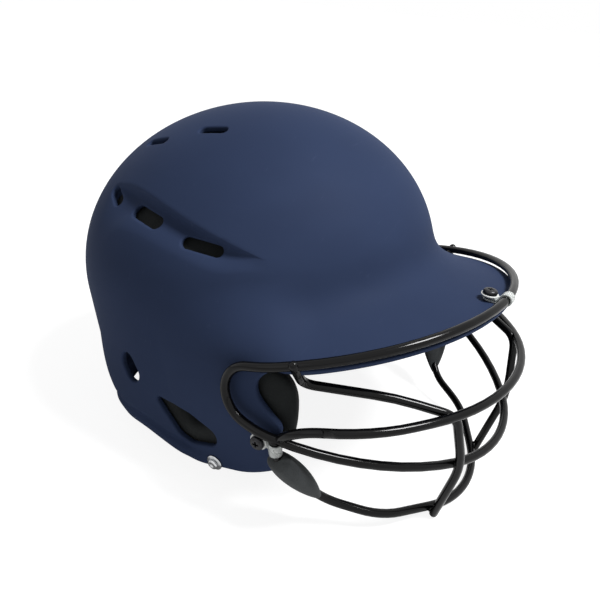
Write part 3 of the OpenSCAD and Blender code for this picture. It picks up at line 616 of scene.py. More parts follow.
def bend_arc(p, b, f, r):
    """Points round a bend of radius r at corner p, between the ways back and forward."""
    half = math.acos(max(-1.0, min(1.0, float(b @ f)))) / 2
    centre = p + unit(b + f) * r / math.sin(half)
    x = unit(p + b * r / math.tan(half) - centre)
    e = p + f * r / math.tan(half) - centre
    y = unit(e - (e @ x) * x)
    sweep = math.pi - 2 * half
    steps = max(2, math.ceil(math.degrees(sweep) / BEND_STEP))
    return [centre + r * (math.cos(sweep * s / steps) * x + math.sin(sweep * s / steps) * y)
            for s in range(steps + 1)]


def bent_route(corners, bends, closed):
    corners = [np.asarray(p, float) for p in corners]
    n = len(corners)
    route = []
    for i, p in enumerate(corners):
        if closed or 0 < i < n - 1:
            back = unit(corners[i - 1] - p)
            route += bend_arc(p, back, unit(corners[(i + 1) % n] - p), bends[i])
        else:
            route.append(p)
    kept = [p for i, p in enumerate(route)
            if (i == 0 and not closed) or np.linalg.norm(p - route[i - 1]) > 0.3]
    return np.array(kept)


def wire_mesh(route, closed):
    """A round tube along a route; an open one has rounded ends."""
    if closed:
        way = unit(np.roll(route, -1, axis=0) - np.roll(route, 1, axis=0))
    else:
        way = unit(np.gradient(route, axis=0))
    across = [unit(np.cross(way[0], [0.3, 0.2, 1.0]))]
    for w in way[1:]:
        across.append(unit(across[-1] - (across[-1] @ w) * w))
    twist = 0.0
    if closed:
        end = across[-1] - (across[-1] @ way[0]) * way[0]
        twist = math.atan2(float(np.cross(across[0], end) @ way[0]), float(across[0] @ end))
    turn = -twist * np.arange(len(route))[:, None] / len(route)
    a = np.array(across) * np.cos(turn) + np.cross(way, across) * np.sin(turn)
    b = np.cross(way, a)
    rings = [(p, i, WIRE_R) for i, p in enumerate(route)]
    if not closed:
        first, last = [[(route[i] + s * way[i] * WIRE_R * sin(t), i, WIRE_R * cos(t)) for t in CAP_STEPS]
                       for i, s in ((0, -1), (-1, 1))]
        rings = first[::-1] + rings + last
    spin = angles(WIRE_SIDES)[:, None]
    points = [p + r * (cos(spin) * a[i] + sin(spin) * b[i]) for p, i, r in rings]
    faces = tube(len(rings), WIRE_SIDES)
    last_ring = (len(rings) - 1) * WIRE_SIDES
    if closed:
        faces += strip(last_ring, 0, WIRE_SIDES)
    else:
        faces += [range(WIRE_SIDES)[::-1], range(last_ring, last_ring + WIRE_SIDES)]
    return np.concatenate(points), faces


def bead_mesh(p, way, other, r):
    """Coating pooled at a weld where two wires cross: a flattened ball between them."""
    z = unit(np.cross(way, other))
    x = unit(way)
    y = np.cross(z, x)
    rows, cols, wide, flat = 10, 16, 1.25, 0.72
    spin = angles(cols)[:, None]
    rings = [p + r * (wide * sin(t) * (cos(spin) * x + sin(spin) * y) + flat * cos(t) * z)
             for t in np.linspace(0, 180, rows)]
    return np.concatenate(rings), tube(rows, cols)


def joined(shapes):
    points, faces, count = [], [], 0
    for p, f in shapes:
        points.append(p)
        faces += [[i + count for i in face] for face in f]
        count += len(p)
    return np.concatenate(points), faces


class Plane:
    """A plane that falls forwards to a depth at its reach; s is the distance ahead along it."""

    def __init__(self, reach, depth, fall):
        self.reach, self.depth, self.fall = reach / cos(fall), depth, fall

    def at(self, x, s):
        return np.array([x, -s * cos(self.fall), (self.reach - s) * sin(self.fall) - self.depth])


class Bar(Plane):
    """A bar whose half is a front arc, a side arc and an ear arc, in a plane that falls forwards."""

    def __init__(self, reach, depth, fall, front_r, front_turn, ear_r, ear_turn):
        super().__init__(reach, depth, fall)
        side_run = GUARD_X - front_r * sin(front_turn) - ear_r * (1 - sin(90 - ear_turn))
        self.side_r = side_run / (sin(90 - ear_turn) - sin(front_turn))
        self.bends = [front_r, self.side_r, ear_r]
        self.corners = []
        p, heading = np.array([0, self.reach]), 0
        for r, turn in zip(self.bends, (front_turn, 90 - front_turn - ear_turn, ear_turn)):
            step = r * math.tan(math.radians(turn / 2))
            self.corners.append(self.at(p[0] + step * cos(heading), p[1] - step * sin(heading)))
            after = heading + turn
            p = p + r * np.array([sin(after) - sin(heading), cos(after) - cos(heading)])
            heading = after
        self.front_x = front_r * sin(front_turn)
        self.side_x = self.front_x - self.side_r * sin(front_turn)
        self.side_s = self.reach - front_r + (front_r - self.side_r) * cos(front_turn)

    def at_x(self, x):
        """Point of the bar at half width x."""
        if x < self.front_x:
            return self.at(x, self.reach - self.bends[0] + math.sqrt(self.bends[0] ** 2 - x * x))
        return self.at(x, self.side_s + math.sqrt(self.side_r ** 2 - (x - self.side_x) ** 2))

    def side_at(self, s):
        return self.at(self.side_x + math.sqrt(self.side_r ** 2 - (s - self.side_s) ** 2), s)


TOP = Bar(BRIM_FRONT, -BRIM_WIRE_Z, 0, *TOP_ARCS)
MOUTH = Bar(MOUTH_REACH, MOUTH_DEPTH, MOUTH_FALL, *MOUTH_ARCS)
NOSE = Bar(NOSE_REACH, NOSE_DEPTH, NOSE_FALL, *NOSE_ARCS)
CHIN = Plane(CHIN_REACH, CHIN_DEPTH, CHIN_FALL)


def chin_run(x):
    return CHIN.at(x, CHIN.reach - (x - CHIN_TURN_X) * math.tan(math.radians(CHIN_FIRST)))


EAR_CORNER_Y = -(MOUTH_REACH - (MOUTH_DEPTH + BRIM_WIRE_Z) / math.tan(math.radians(MOUTH_FALL)))
FRAME_SIDE = TOP.corners + [np.array([GUARD_X, EAR_CORNER_Y, BRIM_WIRE_Z])] + MOUTH.corners[::-1]
FRAME_BENDS = TOP.bends + [EAR_BEND] + MOUTH.bends[::-1]

NOSE_SIDE = NOSE.corners[:2] + [NOSE.at(GUARD_X - 1, NOSE_TURN), MOUTH.side_at(NOSE_STOP) + [0, 0, WELD_IN]]
NOSE_BENDS = [NOSE.bends[0], 100, 24, 0]

CHIN_LOW = CHIN.at(*CHIN_LOW_AT)
RISER_Y = -(float(notch_y(RISER_NOTCH)) + WIRE_R + CLIP_T + 2 * GAP)
RISER_TOP = MOUTH.side_at(-RISER_Y / cos(MOUTH_FALL)) - [0, 0, WELD_IN]
RISER_LOW = RISER_TOP + RISER_RUN
EAR_SCREW_A = math.degrees(math.atan2(EDGE_X, -RISER_Y - EAR_REACH * cos(CLIP_TILT)))
EAR_SCREW_Z = float(RISER_TOP[2]) - LOOP_DROP + EAR_REACH * sin(CLIP_TILT)
CHIN_SIDE = [chin_run(CHIN_TURN_X), chin_run(CHIN_RUN_X), CHIN_LOW, RISER_LOW, RISER_TOP]
CHIN_BENDS = [70, 50, 32, 16, 0]


def by_bar(p, m, q, r, stand_off):
    """Corner of a bend of radius r that passes a bar point m, outside it by stand_off."""
    b, f = unit(p - m), unit(q - m)
    half = math.acos(float(b @ f)) / 2
    return m - unit(b + f) * (stand_off + r * (1 / math.sin(half) - 1))


HANG_TOP = TOP.at_x(HANG_X) + WIRE_R * np.array([0.8, 0, 0.4])
HANG_LOW = HANG_TOP + HANG_RUN
NOSE_POINT = NOSE.at_x(UPRIGHT_GAP / 2)
MOUTH_POINT = MOUTH.at_x((UPRIGHT_GAP + UPRIGHT_FOOT) / 4)
CHIN_POINT = chin_run(UPRIGHT_FOOT / 2)
FOOT_OUT = unit(np.cross([1, 0.6, 0], MOUTH_POINT - CHIN_POINT))
FOOT_END = CHIN_POINT + FOOT_OUT * WELD + unit(CHIN_POINT - MOUTH_POINT) * WIRE_R * 0.4
# The run passes inside the nose bar, the climb outside the mouth and chin bars
KNEE = by_bar(HANG_LOW, NOSE_POINT, MOUTH_POINT, KNEE_BEND, -WELD)
RUN_MIDDLE = mix(HANG_LOW, KNEE, 0.6) + [0, 0, RUN_RISE]
UPRIGHT_SIDE = [HANG_TOP, HANG_LOW, RUN_MIDDLE, KNEE,
                by_bar(NOSE_POINT, MOUTH_POINT, CHIN_POINT, SWEEP_BEND, WELD), FOOT_END]
UPRIGHT_BENDS = [0, 9, 150, KNEE_BEND, SWEEP_BEND, 0]


# Grid of the shell: columns follow the bearing, rows follow the level

EDGE_STEPS = [0.12, 0.35, 0.7, 1.1, 1.5, 2.1, 3.0, 4.2]
BRIM_COLS = 62
WALL_COLS = 104
DOME_ROWS = 56
STEP_ROWS = 8
HOLLOW_ROWS = 12
BELLY_ROWS = 7
FLARE_ROWS = 26
WALL_ROWS = 34
LEAN_SHARE = 0.4
TIP_RISE = 7.0
TIP_SHARE = 0.32 / 3


def spaced(start, stop, count, lead):
    """Values from start to stop, with small first steps at the lead distances."""
    return np.concatenate([[start], start + np.array(lead[:-1]),
                           np.linspace(start + lead[-1], stop, count + 1)])


def column_bearings():
    mm_per_degree = math.radians(1) * EDGE_X
    lead = [v / mm_per_degree for v in EDGE_STEPS]
    wall = spaced(CORNER, 180, WALL_COLS, lead)
    brim = np.linspace(0, CORNER, BRIM_COLS + 1)[:-1]
    half = np.concatenate([brim, wall])
    return np.concatenate([-half[1:-1][::-1], half])


def crown_levels(a):
    """Levels of the rows from the crown down to the foot of the channel, for one bearing."""
    top, foot, low = crease_z(a), step_z(a), channel_low(a)
    dome = mix(90, np.degrees(np.arcsin(top / BOWL_H)), np.linspace(0, 1, DOME_ROWS + 1)[1:])
    spans = ((top, foot, STEP_ROWS), (foot, low, HOLLOW_ROWS), (low, FLARE_TOP, BELLY_ROWS))
    return np.concatenate([BOWL_H * sin(dome)] + [np.linspace(p, q, n + 1)[1:] for p, q, n in spans])


def flare_levels(a):
    """Levels down the flare, evenly along its length and finely near the edge."""
    z = np.linspace(FLARE_TOP, -BRIM_DROP, 400)
    p = skin(np.full_like(z, a), z)
    run = np.concatenate([[0], np.cumsum(np.linalg.norm(np.diff(p, axis=0), axis=1))])
    wanted = run[-1] - spaced(0, run[-1], FLARE_ROWS, EDGE_STEPS)[:-1]
    return np.interp(wanted[::-1], run, z)


def wall_share(base):
    """How far round the wall a column is, from 0 at the brim's corner to 1 at the nape."""
    return (base - CORNER) / (180 - CORNER)


def wall_point(base, share, rim):
    """Bearing and level in the wall below the brim's level; base is the column's own bearing."""
    z = mix(-BRIM_DROP, rim, share)
    return base + (front_bearing(z) - CORNER) * (1 - ease(wall_share(base) / LEAN_SHARE)), z


def wall_rim(base):
    return rim_z(base) + TIP_RISE * np.maximum(0, 1 - wall_share(base) / TIP_SHARE) ** 2


WALL_DEPTH = FLAP_DEPTH - BRIM_DROP
WALL_STEPS = [v / WALL_DEPTH for v in EDGE_STEPS + [5.2, 6.4, 7.6, 9.0]]
WALL_SHARES = (1 - spaced(0, 1, WALL_ROWS, WALL_STEPS)[::-1])[1:]


class Sheet:
    """One face of the moulded wall, as points with a bearing, a level and a rounding at edges."""

    def __init__(self, depth, way):
        self.depth = depth
        self.way = way
        self.a, self.z, self.quads, self.edge = shell_grid()
        self.round = np.zeros(len(self.a))
        self.polygons = []

    def add(self, a, z, rounding=0.0):
        first = len(self.a)
        self.a = np.append(self.a, a)
        self.z = np.append(self.z, z)
        self.round = np.append(self.round, np.broadcast_to(rounding, np.shape(a)))
        return np.arange(first, len(self.a))

    def points(self):
        return under(self.a, self.z, self.depth + self.way * self.round)


def lip(d, r):
    """How far a rounded edge of radius r has fallen at distance d from it."""
    c = np.clip(r - d, 0, r)
    return r - np.sqrt(r * r - c * c)


def shell_grid():
    """Bearings and levels of the grid, its quads, and the loop of its free edge."""
    bearings = column_bearings()
    n = len(bearings)
    levels = [np.concatenate([crown_levels(abs(a)), flare_levels(abs(a))]) for a in bearings]
    rows = len(levels[0])
    z_top = np.array(levels).T
    a_all = [np.zeros(1), np.tile(bearings, rows)]
    z_all = [np.array([BOWL_H - 1e-6]), z_top.ravel()]
    on_wall = np.abs(bearings) >= CORNER - 1e-6
    first = int(np.argmax(bearings >= CORNER - 1e-6))
    wall = [(first + i) % n for i in range(int(on_wall.sum()))]
    base = np.abs(bearings[wall])
    side = np.where(bearings[wall] > 0, 1, -1)
    rim = wall_rim(base)
    for share in WALL_SHARES:
        a, z = wall_point(base, share, rim)
        a_all.append(side * a)
        z_all.append(z)

    def top(r, c):
        return 0 if r < 0 else 1 + r * n + c % n

    def low(k, w):
        return top(rows - 1, wall[w]) if k == 0 else 1 + rows * n + (k - 1) * len(wall) + w

    quads = [(0, 0, top(0, c), top(0, c + 1)) for c in range(n)]
    quads += [(top(r, c), top(r + 1, c), top(r + 1, c + 1), top(r, c + 1))
              for r in range(rows - 1) for c in range(n)]
    depth = len(WALL_SHARES)
    quads += [(low(k, w), low(k + 1, w), low(k + 1, w + 1), low(k, w + 1))
              for k in range(depth) for w in range(len(wall) - 1)]
    brim = [top(rows - 1, c) for c in range(wall[-1], first)] if wall[-1] < first else []
    edge = brim + [low(k, 0) for k in range(depth)] + [low(depth, w) for w in range(len(wall) - 1)]
    edge += [low(k, len(wall) - 1) for k in range(depth, 0, -1)]
    return np.concatenate(a_all), np.concatenate(z_all), np.array(quads), edge


def round_free_edge(sheet):
    """Rounds the sheet's vertices that lie within a lip's width of its free edge."""
    samples, band = 8, 12
    points = sheet.points()
    loop = points[sheet.edge]
    tree = KDTree(len(loop) * samples)
    for i, (p, q) in enumerate(zip(loop, np.roll(loop, -1, axis=0))):
        for s in range(samples):
            tree.insert(mix(p, q, s / samples), i * samples + s)
    tree.balance()
    for v in np.nonzero(sheet.z < band - BRIM_DROP)[0]:
        d = tree.find(points[v])[2]
        if d < EDGE_LIP:
            sheet.round[v] = lip(d, EDGE_LIP)


class Hole:
    """A hole spanned by circles (x, y, radius), square to the skin where it is centred."""

    def __init__(self, a, z, tilt, circles, side, margin=HOLE_MARGIN):
        o = skin_out(a, z)
        x = unit(np.cross([0, 0, 1], o))
        y = np.cross(o, x)
        self.u = sided(cos(tilt) * x + sin(tilt) * y, side)
        self.v = sided(cos(tilt) * y - sin(tilt) * x, side)
        self.at = sided(skin(a, z), side)
        self.start = (side * a, z)
        self.margin = margin
        self.base, self.way = self.outline(np.array(circles, float))

    def plan(self, points):
        d = points - self.at
        return np.stack([d @ self.u, d @ self.v], axis=-1)

    def outline(self, circles):
        """Points round the hole about a millimetre apart, with their outward directions."""
        turns = angles(720)
        way = np.stack([cos(turns), sin(turns)], axis=-1)
        owner = np.argmax(way @ circles[:, :2].T + circles[:, 2], axis=1)
        base = circles[owner, :2] + way * circles[owner, 2:]
        steps = np.linalg.norm(np.roll(base, -1, axis=0) - base, axis=1)
        run = np.concatenate([[0], np.cumsum(steps)])
        count = max(24, round(run[-1] / OUTLINE_STEP))
        wanted = np.linspace(0, run[-1], count, endpoint=False)
        closed = np.vstack([base, base[:1]])
        spin = np.interp(wanted, run, np.append(turns, 360))
        points = np.stack([np.interp(wanted, run, closed[:, k]) for k in (0, 1)], axis=-1)
        return points, np.stack([cos(spin), sin(spin)], axis=-1)

    def distance(self, points):
        """Signed distance in the hole's plane; far points get a large one."""
        p = self.plan(points)
        tall = np.abs((points - self.at) @ np.cross(self.u, self.v))
        reach = np.linalg.norm(self.base, axis=1).max() + 2 * self.margin
        near = (np.linalg.norm(p, axis=-1) < reach) & (tall < 2 * reach)
        d = np.full(len(p), reach)
        ahead = np.roll(self.base, -1, axis=0) - self.base
        q = p[near][:, None, :] - self.base
        t = np.clip((q * ahead).sum(-1) / (ahead ** 2).sum(-1), 0, 1)
        gap = np.linalg.norm(q - t[..., None] * ahead, axis=-1).min(axis=1)
        turn = ahead[:, 0] * q[..., 1] - ahead[:, 1] * q[..., 0]
        d[near] = np.where((turn > 0).all(axis=1), -gap, gap)
        return d

    def solve(self, target, depth):
        """Bearing and level of the face's points that lie at plan positions."""
        a = np.full(len(target), float(self.start[0]))
        z = np.full(len(target), float(self.start[1]))
        rounds, nudge, most_a, most_z = 9, 0.05, 9, 12
        for _ in range(rounds):
            tried = under(np.stack([a, a + nudge, a]), np.stack([z, z, z + nudge]), depth)
            now, more_a, more_z = self.plan(tried)
            slopes = np.stack([more_a - now, more_z - now], axis=-1) / nudge
            step = np.linalg.solve(slopes, (target - now)[..., None])[..., 0]
            a, z = a + np.clip(step[:, 0], -most_a, most_a), z + np.clip(step[:, 1], -most_z, most_z)
        return a, z

    def cut(self, sheet):
        """Clips the sheet's grid a margin outside the hole, then runs rings in to its lip."""
        distance = self.distance(sheet.points())
        inside = distance < self.margin
        hit = inside[sheet.quads].any(axis=1)
        crossed, after = {}, {}

        def crossing(i, j):
            key = (min(i, j), max(i, j))
            if key not in crossed:
                t = (self.margin - distance[i]) / (distance[j] - distance[i])
                crossed[key] = int(sheet.add(mix(sheet.a[i], sheet.a[j], t),
                                             mix(sheet.z[i], sheet.z[j], t))[0])
            return crossed[key]

        for quad in sheet.quads[hit].tolist():
            kept, ends = [], {}
            for i, j in zip(quad, quad[1:] + quad[:1]):
                if not inside[i]:
                    kept.append(i)
                if inside[i] != inside[j]:
                    kept.append(crossing(i, j))
                    ends[bool(inside[j])] = kept[-1]
            if kept:
                sheet.polygons.append(kept)
                after[ends[True]] = ends[False]
        sheet.quads = sheet.quads[~hit]
        return self.rings(sheet, after)

    def rings(self, sheet, after):
        """Joins the clipped edge to rings of points that run in to the lip; gives the last ring."""
        loop = [next(iter(after))]
        while after[loop[-1]] != loop[0]:
            loop.append(after[loop[-1]])
        m = len(self.base)
        lip_r = min(HOLE_LIP, self.margin / 2)
        levels = np.concatenate([np.linspace(self.margin, lip_r, FLAT_RINGS + 1)[1:],
                                 lip_r * (1 - sin(np.linspace(0, 90, LIP_RINGS + 1)[1:]))])
        target = np.concatenate([self.base + self.way * d for d in levels])
        added = sheet.add(*self.solve(target, sheet.depth), lip(np.repeat(levels, m), lip_r))
        points = self.plan(under(sheet.a[loop], sheet.z[loop], sheet.depth))
        ring = self.plan(under(sheet.a[added[:m]], sheet.z[added[:m]], sheet.depth))
        nearest = [int(np.argmin(np.hypot(*(ring - p).T))) for p in points]
        way_round = sum(1 if (b - a) % m < m / 2 else -1
                        for a, b in zip(nearest, nearest[1:]) if a != b)
        if way_round < 0:
            loop.reverse()
            nearest.reverse()
        first = int(added[0])
        for i, here in enumerate(loop):
            start, stop = nearest[i - 1], nearest[i]
            count = (stop - start) % m
            count = 0 if count > m / 2 else count
            for k in range(start, start + count):
                sheet.polygons.append([loop[i - 1], first + (k + 1) % m, first + k % m])
            sheet.polygons.append([loop[i - 1], here, first + (start + count) % m])
        sheet.polygons += tube(len(levels), m, first)
        return added[-m:]


def long_hole(a, z, tilt, length, width, side, margin=HOLE_MARGIN):
    half = (length - width) / 2
    return Hole(a, z, tilt, [(-half, 0, width / 2), (half, 0, width / 2)], side, margin)


def ear_hole(side):
    end = EAR_HOLE_W * 0.3
    circles = [(0, -0.5, end), (EAR_HOLE_L * 0.3, -4.3, EAR_HOLE_W / 2),
               (EAR_HOLE_L - end - EAR_HOLE_TIP, 0.5, EAR_HOLE_TIP)]
    return Hole(*EAR_HOLE, circles, side)


BRIM_SCREW_R = BRIM_FRONT - CLIP_REACH
BRIM_SCREW_Z = FLARE_TOP - FLARE_RUN * ((BRIM_SCREW_R - BOWL_L / 2) / BRIM_REACH) ** (1 / BRIM_SWEEP)


def shell_holes():
    screw = SCREW_D + 2 * GAP
    holes = [long_hole(0, BRIM_SCREW_Z, 0, screw, screw, 1, SCREW_MARGIN)]
    for side in (-1, 1):
        for a, drop, tilt, length, width in SIDE_VENTS:
            holes.append(long_hole(a, crease_z(a) - drop, tilt, VENT_L * length, VENT_W * width, side))
        for a, level, tilt, length, width in CROWN_SLOTS:
            holes.append(long_hole(a, level, tilt, SLOT_L * length, SLOT_W * width, side))
        holes += [long_hole(*REAR_SLOT, REAR_SLOT_L, REAR_SLOT_W, side), ear_hole(side),
                  long_hole(EAR_SCREW_A, EAR_SCREW_Z, 0, screw, screw, side, SCREW_MARGIN)]
    return holes


def make_shell():
    outer, inner = Sheet(0.0, 1), Sheet(SHELL_T, -1)
    for sheet in (outer, inner):
        round_free_edge(sheet)
    joins = [(hole.cut(outer), hole.cut(inner)) for hole in shell_holes()]
    joins.append((outer.edge, inner.edge))
    offset = len(outer.a)
    faces = []
    for sheet, first in ((outer, 0), (inner, offset)):
        quads = [q if q[0] != q[1] else q[1:] for q in sheet.quads.tolist()]
        faces += [[i + first for i in face] for face in quads + sheet.polygons]
    for a, b in joins:
        faces += [(a[i - 1], a[i], b[i] + offset, b[i - 1] + offset) for i in range(len(a))]
    points = np.concatenate([outer.points(), inner.points()])
    add_piece("helmet_shell", (points, faces), "shell_plastic", "shell")


make_shell()


# Guard

def nearest_way(route, p):
    """The point of a route next to p, and the route's direction there."""
    i = int(np.argmin(np.linalg.norm(route - p, axis=1)))
    i = min(max(i, 1), len(route) - 2)
    found = []
    for start, stop in ((route[i - 1], route[i]), (route[i], route[i + 1])):
        d = stop - start
        q = start + min(1.0, max(0.0, float((p - start) @ d / (d @ d)))) * d
        found.append((np.linalg.norm(q - p), q, unit(d)))
    return min(found, key=lambda f: f[0])[1:]


def whole_bar(side, bends):
    return bent_route([sided(p, -1) for p in side[::-1]] + side, bends[::-1] + bends, False)


def make_guard():
    loop = bent_route(FRAME_SIDE + [sided(p, -1) for p in FRAME_SIDE[::-1]],
                      FRAME_BENDS + FRAME_BENDS[::-1], True)
    nose, chin = whole_bar(NOSE_SIDE, NOSE_BENDS), whole_bar(CHIN_SIDE, CHIN_BENDS)
    upright = bent_route(UPRIGHT_SIDE, UPRIGHT_BENDS, False)
    add_piece("guard_loop", wire_mesh(loop, True), "coated_wire", "guard_frame")
    add_piece("nose_wire", wire_mesh(nose, False), "coated_wire", "nose_bar")
    add_piece("chin_wire", wire_mesh(chin, False), "coated_wire", "chin_bar")
    shapes = [wire_mesh(upright, False)]
    for p, bar in ((NOSE_POINT, nose), (MOUTH_POINT, loop), (CHIN_POINT, chin), (HANG_TOP, loop)):
        on_bar, bar_way = nearest_way(bar, p)
        on_wire, wire_way = nearest_way(upright, on_bar)
        shapes.append(bead_mesh((on_bar + on_wire) / 2, bar_way, wire_way, WIRE_R * 0.8))
    for name, side in SIDES:
        add_piece(f"upright_wire_{name}", joined(shapes), "coated_wire", f"upright_{name}", side)


make_guard()


# Padding

PAD_RINGS = 14
PAD_COLS = 96


def add_pad(name, shape, slot, node, side=1):
    add_piece(name, shape, slot, node, side)


def crown_of(r):
    return np.sqrt(np.maximum(0, 1 - r ** 4))


def pad_depth(h, t, inner):
    """Depth of a pad's faces below the skin, where it is filled to a share h of its thickness t."""
    seat = CUSHION_SEAT + (1 - CUSHION_SEAT) * h if inner else CUSHION_SEAT * (1 - h)
    return SHELL_T + PAD_GAP + t * seat


def squared(v, power=0.6):
    return np.sign(v) * np.abs(v) ** power


def pad_mesh(spot):
    """A pad whose outer and inner sides are given by spot(r, turn, inner)."""
    reach = sin(np.linspace(0, 90, PAD_RINGS + 1))[1:]
    points = []
    for inner, rows in ((False, reach), (True, reach[:-1])):
        points.append(spot(np.zeros(1), np.zeros(1), inner))
        points += [spot(np.full(PAD_COLS, r), angles(PAD_COLS), inner) for r in rows]
    n, tip = PAD_COLS, 1 + PAD_RINGS * PAD_COLS
    faces = fan(0, 1, n) + tube(PAD_RINGS, n, 1) + fan(tip, tip + 1, n) + tube(PAD_RINGS - 1, n, tip + 1)
    return np.concatenate(points), faces + strip(tip - n, tip + 1 + (PAD_RINGS - 2) * n, n)


def cushion(name, node, place, side=1):
    a, z, half_a, half_z = place

    def spot(r, turn, inner):
        sa = a + half_a * r * squared(cos(turn))
        sz = z + half_z * r * squared(sin(turn))
        level = sink(sa, sz) * crown_of(r) if inner else 0
        return under(sa, sz, pad_depth(crown_of(r), PAD_T, inner) - level)
    add_pad(name, pad_mesh(spot), "liner_foam", node, side)


def crown_cushion():
    def spot(r, turn, inner):
        return under(turn, BOWL_H * cos(CROWN_PAD_SPAN * r), pad_depth(crown_of(r), PAD_T, inner))
    add_pad("crown_cushion", pad_mesh(spot), "liner_foam", "crown_pad")


def ear_cushion(name, node, side):
    """Thick ear pad with an opening for the ear, and room behind it for the nut."""
    a0, z0, half_a, half_z = EAR_PAD
    rings, cols = 22, 112
    c, s = cos(angles(cols)), sin(angles(cols))
    well_a = EAR_WELL_AT[0] + math.degrees(EAR_WELL_W / 2 / EDGE_X) * squared(c, 0.8)
    well_z = EAR_WELL_AT[1] + EAR_WELL_L / 2 * squared(s, 0.8)
    rise = squared(s)
    ahead = 1 - EAR_PAD_TAPER * ease((0.5 - rise) / 1.5)
    out_a = half_a * np.where(c < 0, ahead, EAR_PAD_REAR) * squared(c)
    nut = under(EAR_SCREW_A, EAR_SCREW_Z, 0.0)
    room = SHELL_T + NUT_SEAT + NUT_H + NUT_ROOM
    shares = (1 - cos(np.linspace(0, 180, rings + 1))) / 2
    points = []
    for inner, rows in ((False, shares), (True, shares[1:-1])):
        for k in rows:
            sa, sz = a0 + mix(well_a, out_a, k), z0 + mix(well_z, half_z * rise, k)
            h = math.sqrt(max(0.0, 1 - abs(2 * k - 1) ** 3.4))
            depth = pad_depth(h, EAR_PAD_T, inner)
            if inner:
                depth = depth - sink(sa, sz) * h
            else:
                near = np.linalg.norm(skin(sa, sz) - nut, axis=-1)
                depth = np.maximum(depth, room * (1 - ease((near - NUT_ROOM_R) / NUT_ROOM_FADE)))
            points.append(under(sa, sz, depth))
    first = (rings + 1) * cols
    faces = tube(rings + 1, cols) + strip(0, first, cols) + tube(rings - 1, cols, first)
    faces += strip(first + (rings - 2) * cols, rings * cols, cols)
    add_pad(name, (np.concatenate(points), faces), "liner_foam", node, side)


def chin_cushion(name, node, side):
    """Leaf-shaped foam pad round the climbing end of the chin bar."""
    axis = unit(RISER_LOW - CHIN_LOW)
    flat = unit(np.cross(axis, [1, 0.3, 0]))
    thick = np.cross(axis, flat)
    start = RISER_LOW + axis * (CHIN_PAD_TOP - CHIN_PAD_L)
    rings, cols = 40, 36
    turn = angles(cols)[:, None]
    wide = CHIN_PAD_W / 2 * squared(cos(turn), 0.9) * flat
    deep = (WIRE_R + CHIN_PAD_W * 0.2) * squared(sin(turn), 0.8) * thick
    points = [start[None, :]]
    for s in (1 - cos(np.linspace(0, 180, rings + 1)[1:-1])) / 2:
        tip = math.sqrt(1 - max(0.0, (s - 1 + CHIN_PAD_TIP) / CHIN_PAD_TIP) ** 2)
        points.append(start + axis * CHIN_PAD_L * s + sin(144 * s ** 1.3) ** 0.6 * tip * (wide + deep))
    points.append((start + axis * CHIN_PAD_L)[None, :])
    shape = np.concatenate(points), capped(rings - 1, cols)
    add_pad(name, shape, "chin_foam", node, side)


def make_pads():
    cushion("front_cushion", "front_pad", FRONT_PAD)
    cushion("rear_cushion", "rear_pad", REAR_PAD)
    crown_cushion()
    for name, side in SIDES:
        cushion(f"side_cushion_{name}", f"side_pad_{name}", SIDE_PAD, side)
        ear_cushion(f"ear_cushion_{name}", f"ear_pad_{name}", side)
        chin_cushion(f"chin_cushion_{name}", f"chin_pad_{name}", side)


make_pads()


# Clips, screws, washers, nuts and studs

def placed(points, at, out, along):
    """Moves points so that z follows out and x follows along, with the origin at a place."""
    along = np.asarray(along, float)
    x = unit(along - (along @ out) * out)
    return at + np.asarray(points, float) @ [x, np.cross(out, x), out]


def spun(profile, sides):
    return [[r * cos(s), r * sin(s), z] for r, z in profile for s in angles(sides)]


def turned_mesh(profile, sides):
    """A solid of revolution about z; the profile's first and last points are on the axis."""
    points = [[0, 0, profile[0][1]]] + spun(profile[1:-1], sides) + [[0, 0, profile[-1][1]]]
    return points, capped(len(profile) - 2, sides)


def ring_mesh(profile, sides=64):
    """A ring about z whose closed profile is swept round."""
    n = len(profile)
    return spun(profile, sides), tube(n, sides) + strip((n - 1) * sides, 0, sides)


def rounded(corners, r, steps=4):
    """A closed profile with its corners rounded."""
    made = []
    n = len(corners)
    for i in range(n):
        p, a, b = (np.array(corners[k % n], float) for k in (i, i - 1, i + 1))
        back, on = unit(a - p), unit(b - p)
        c = min(r, 0.45 * np.linalg.norm(a - p), 0.45 * np.linalg.norm(b - p))
        for s in range(steps + 1):
            t = s / steps
            made.append((1 - t) ** 2 * (p + back * c) + 2 * t * (1 - t) * p + t * t * (p + on * c))
    return made


def seat(a, z, side):
    """Place on the skin and the way out of it."""
    return sided(skin(a, z), side), sided(skin_out(a, z), side)


def screw_mesh():
    shank, head, top = SCREW_D / 2, HEAD_D / 2, HEAD_BASE + HEAD_H
    foot = HEAD_BASE - SHANK_L
    profile = [(0, foot), (shank - 0.4, foot), (shank, foot + 0.5), (shank, HEAD_BASE),
               (head - 0.25, HEAD_BASE), (head, HEAD_BASE + 0.25), (head, HEAD_BASE + HEAD_H * 0.4)]
    profile += [(head - HEAD_H * 0.6 * (1 - cos(b)), HEAD_BASE + HEAD_H * (0.4 + 0.58 * sin(b)))
                for b in range(8, 90, 8)]
    return turned_mesh(profile + [(HEAD_D * 0.18, top), (0, top)], 72)


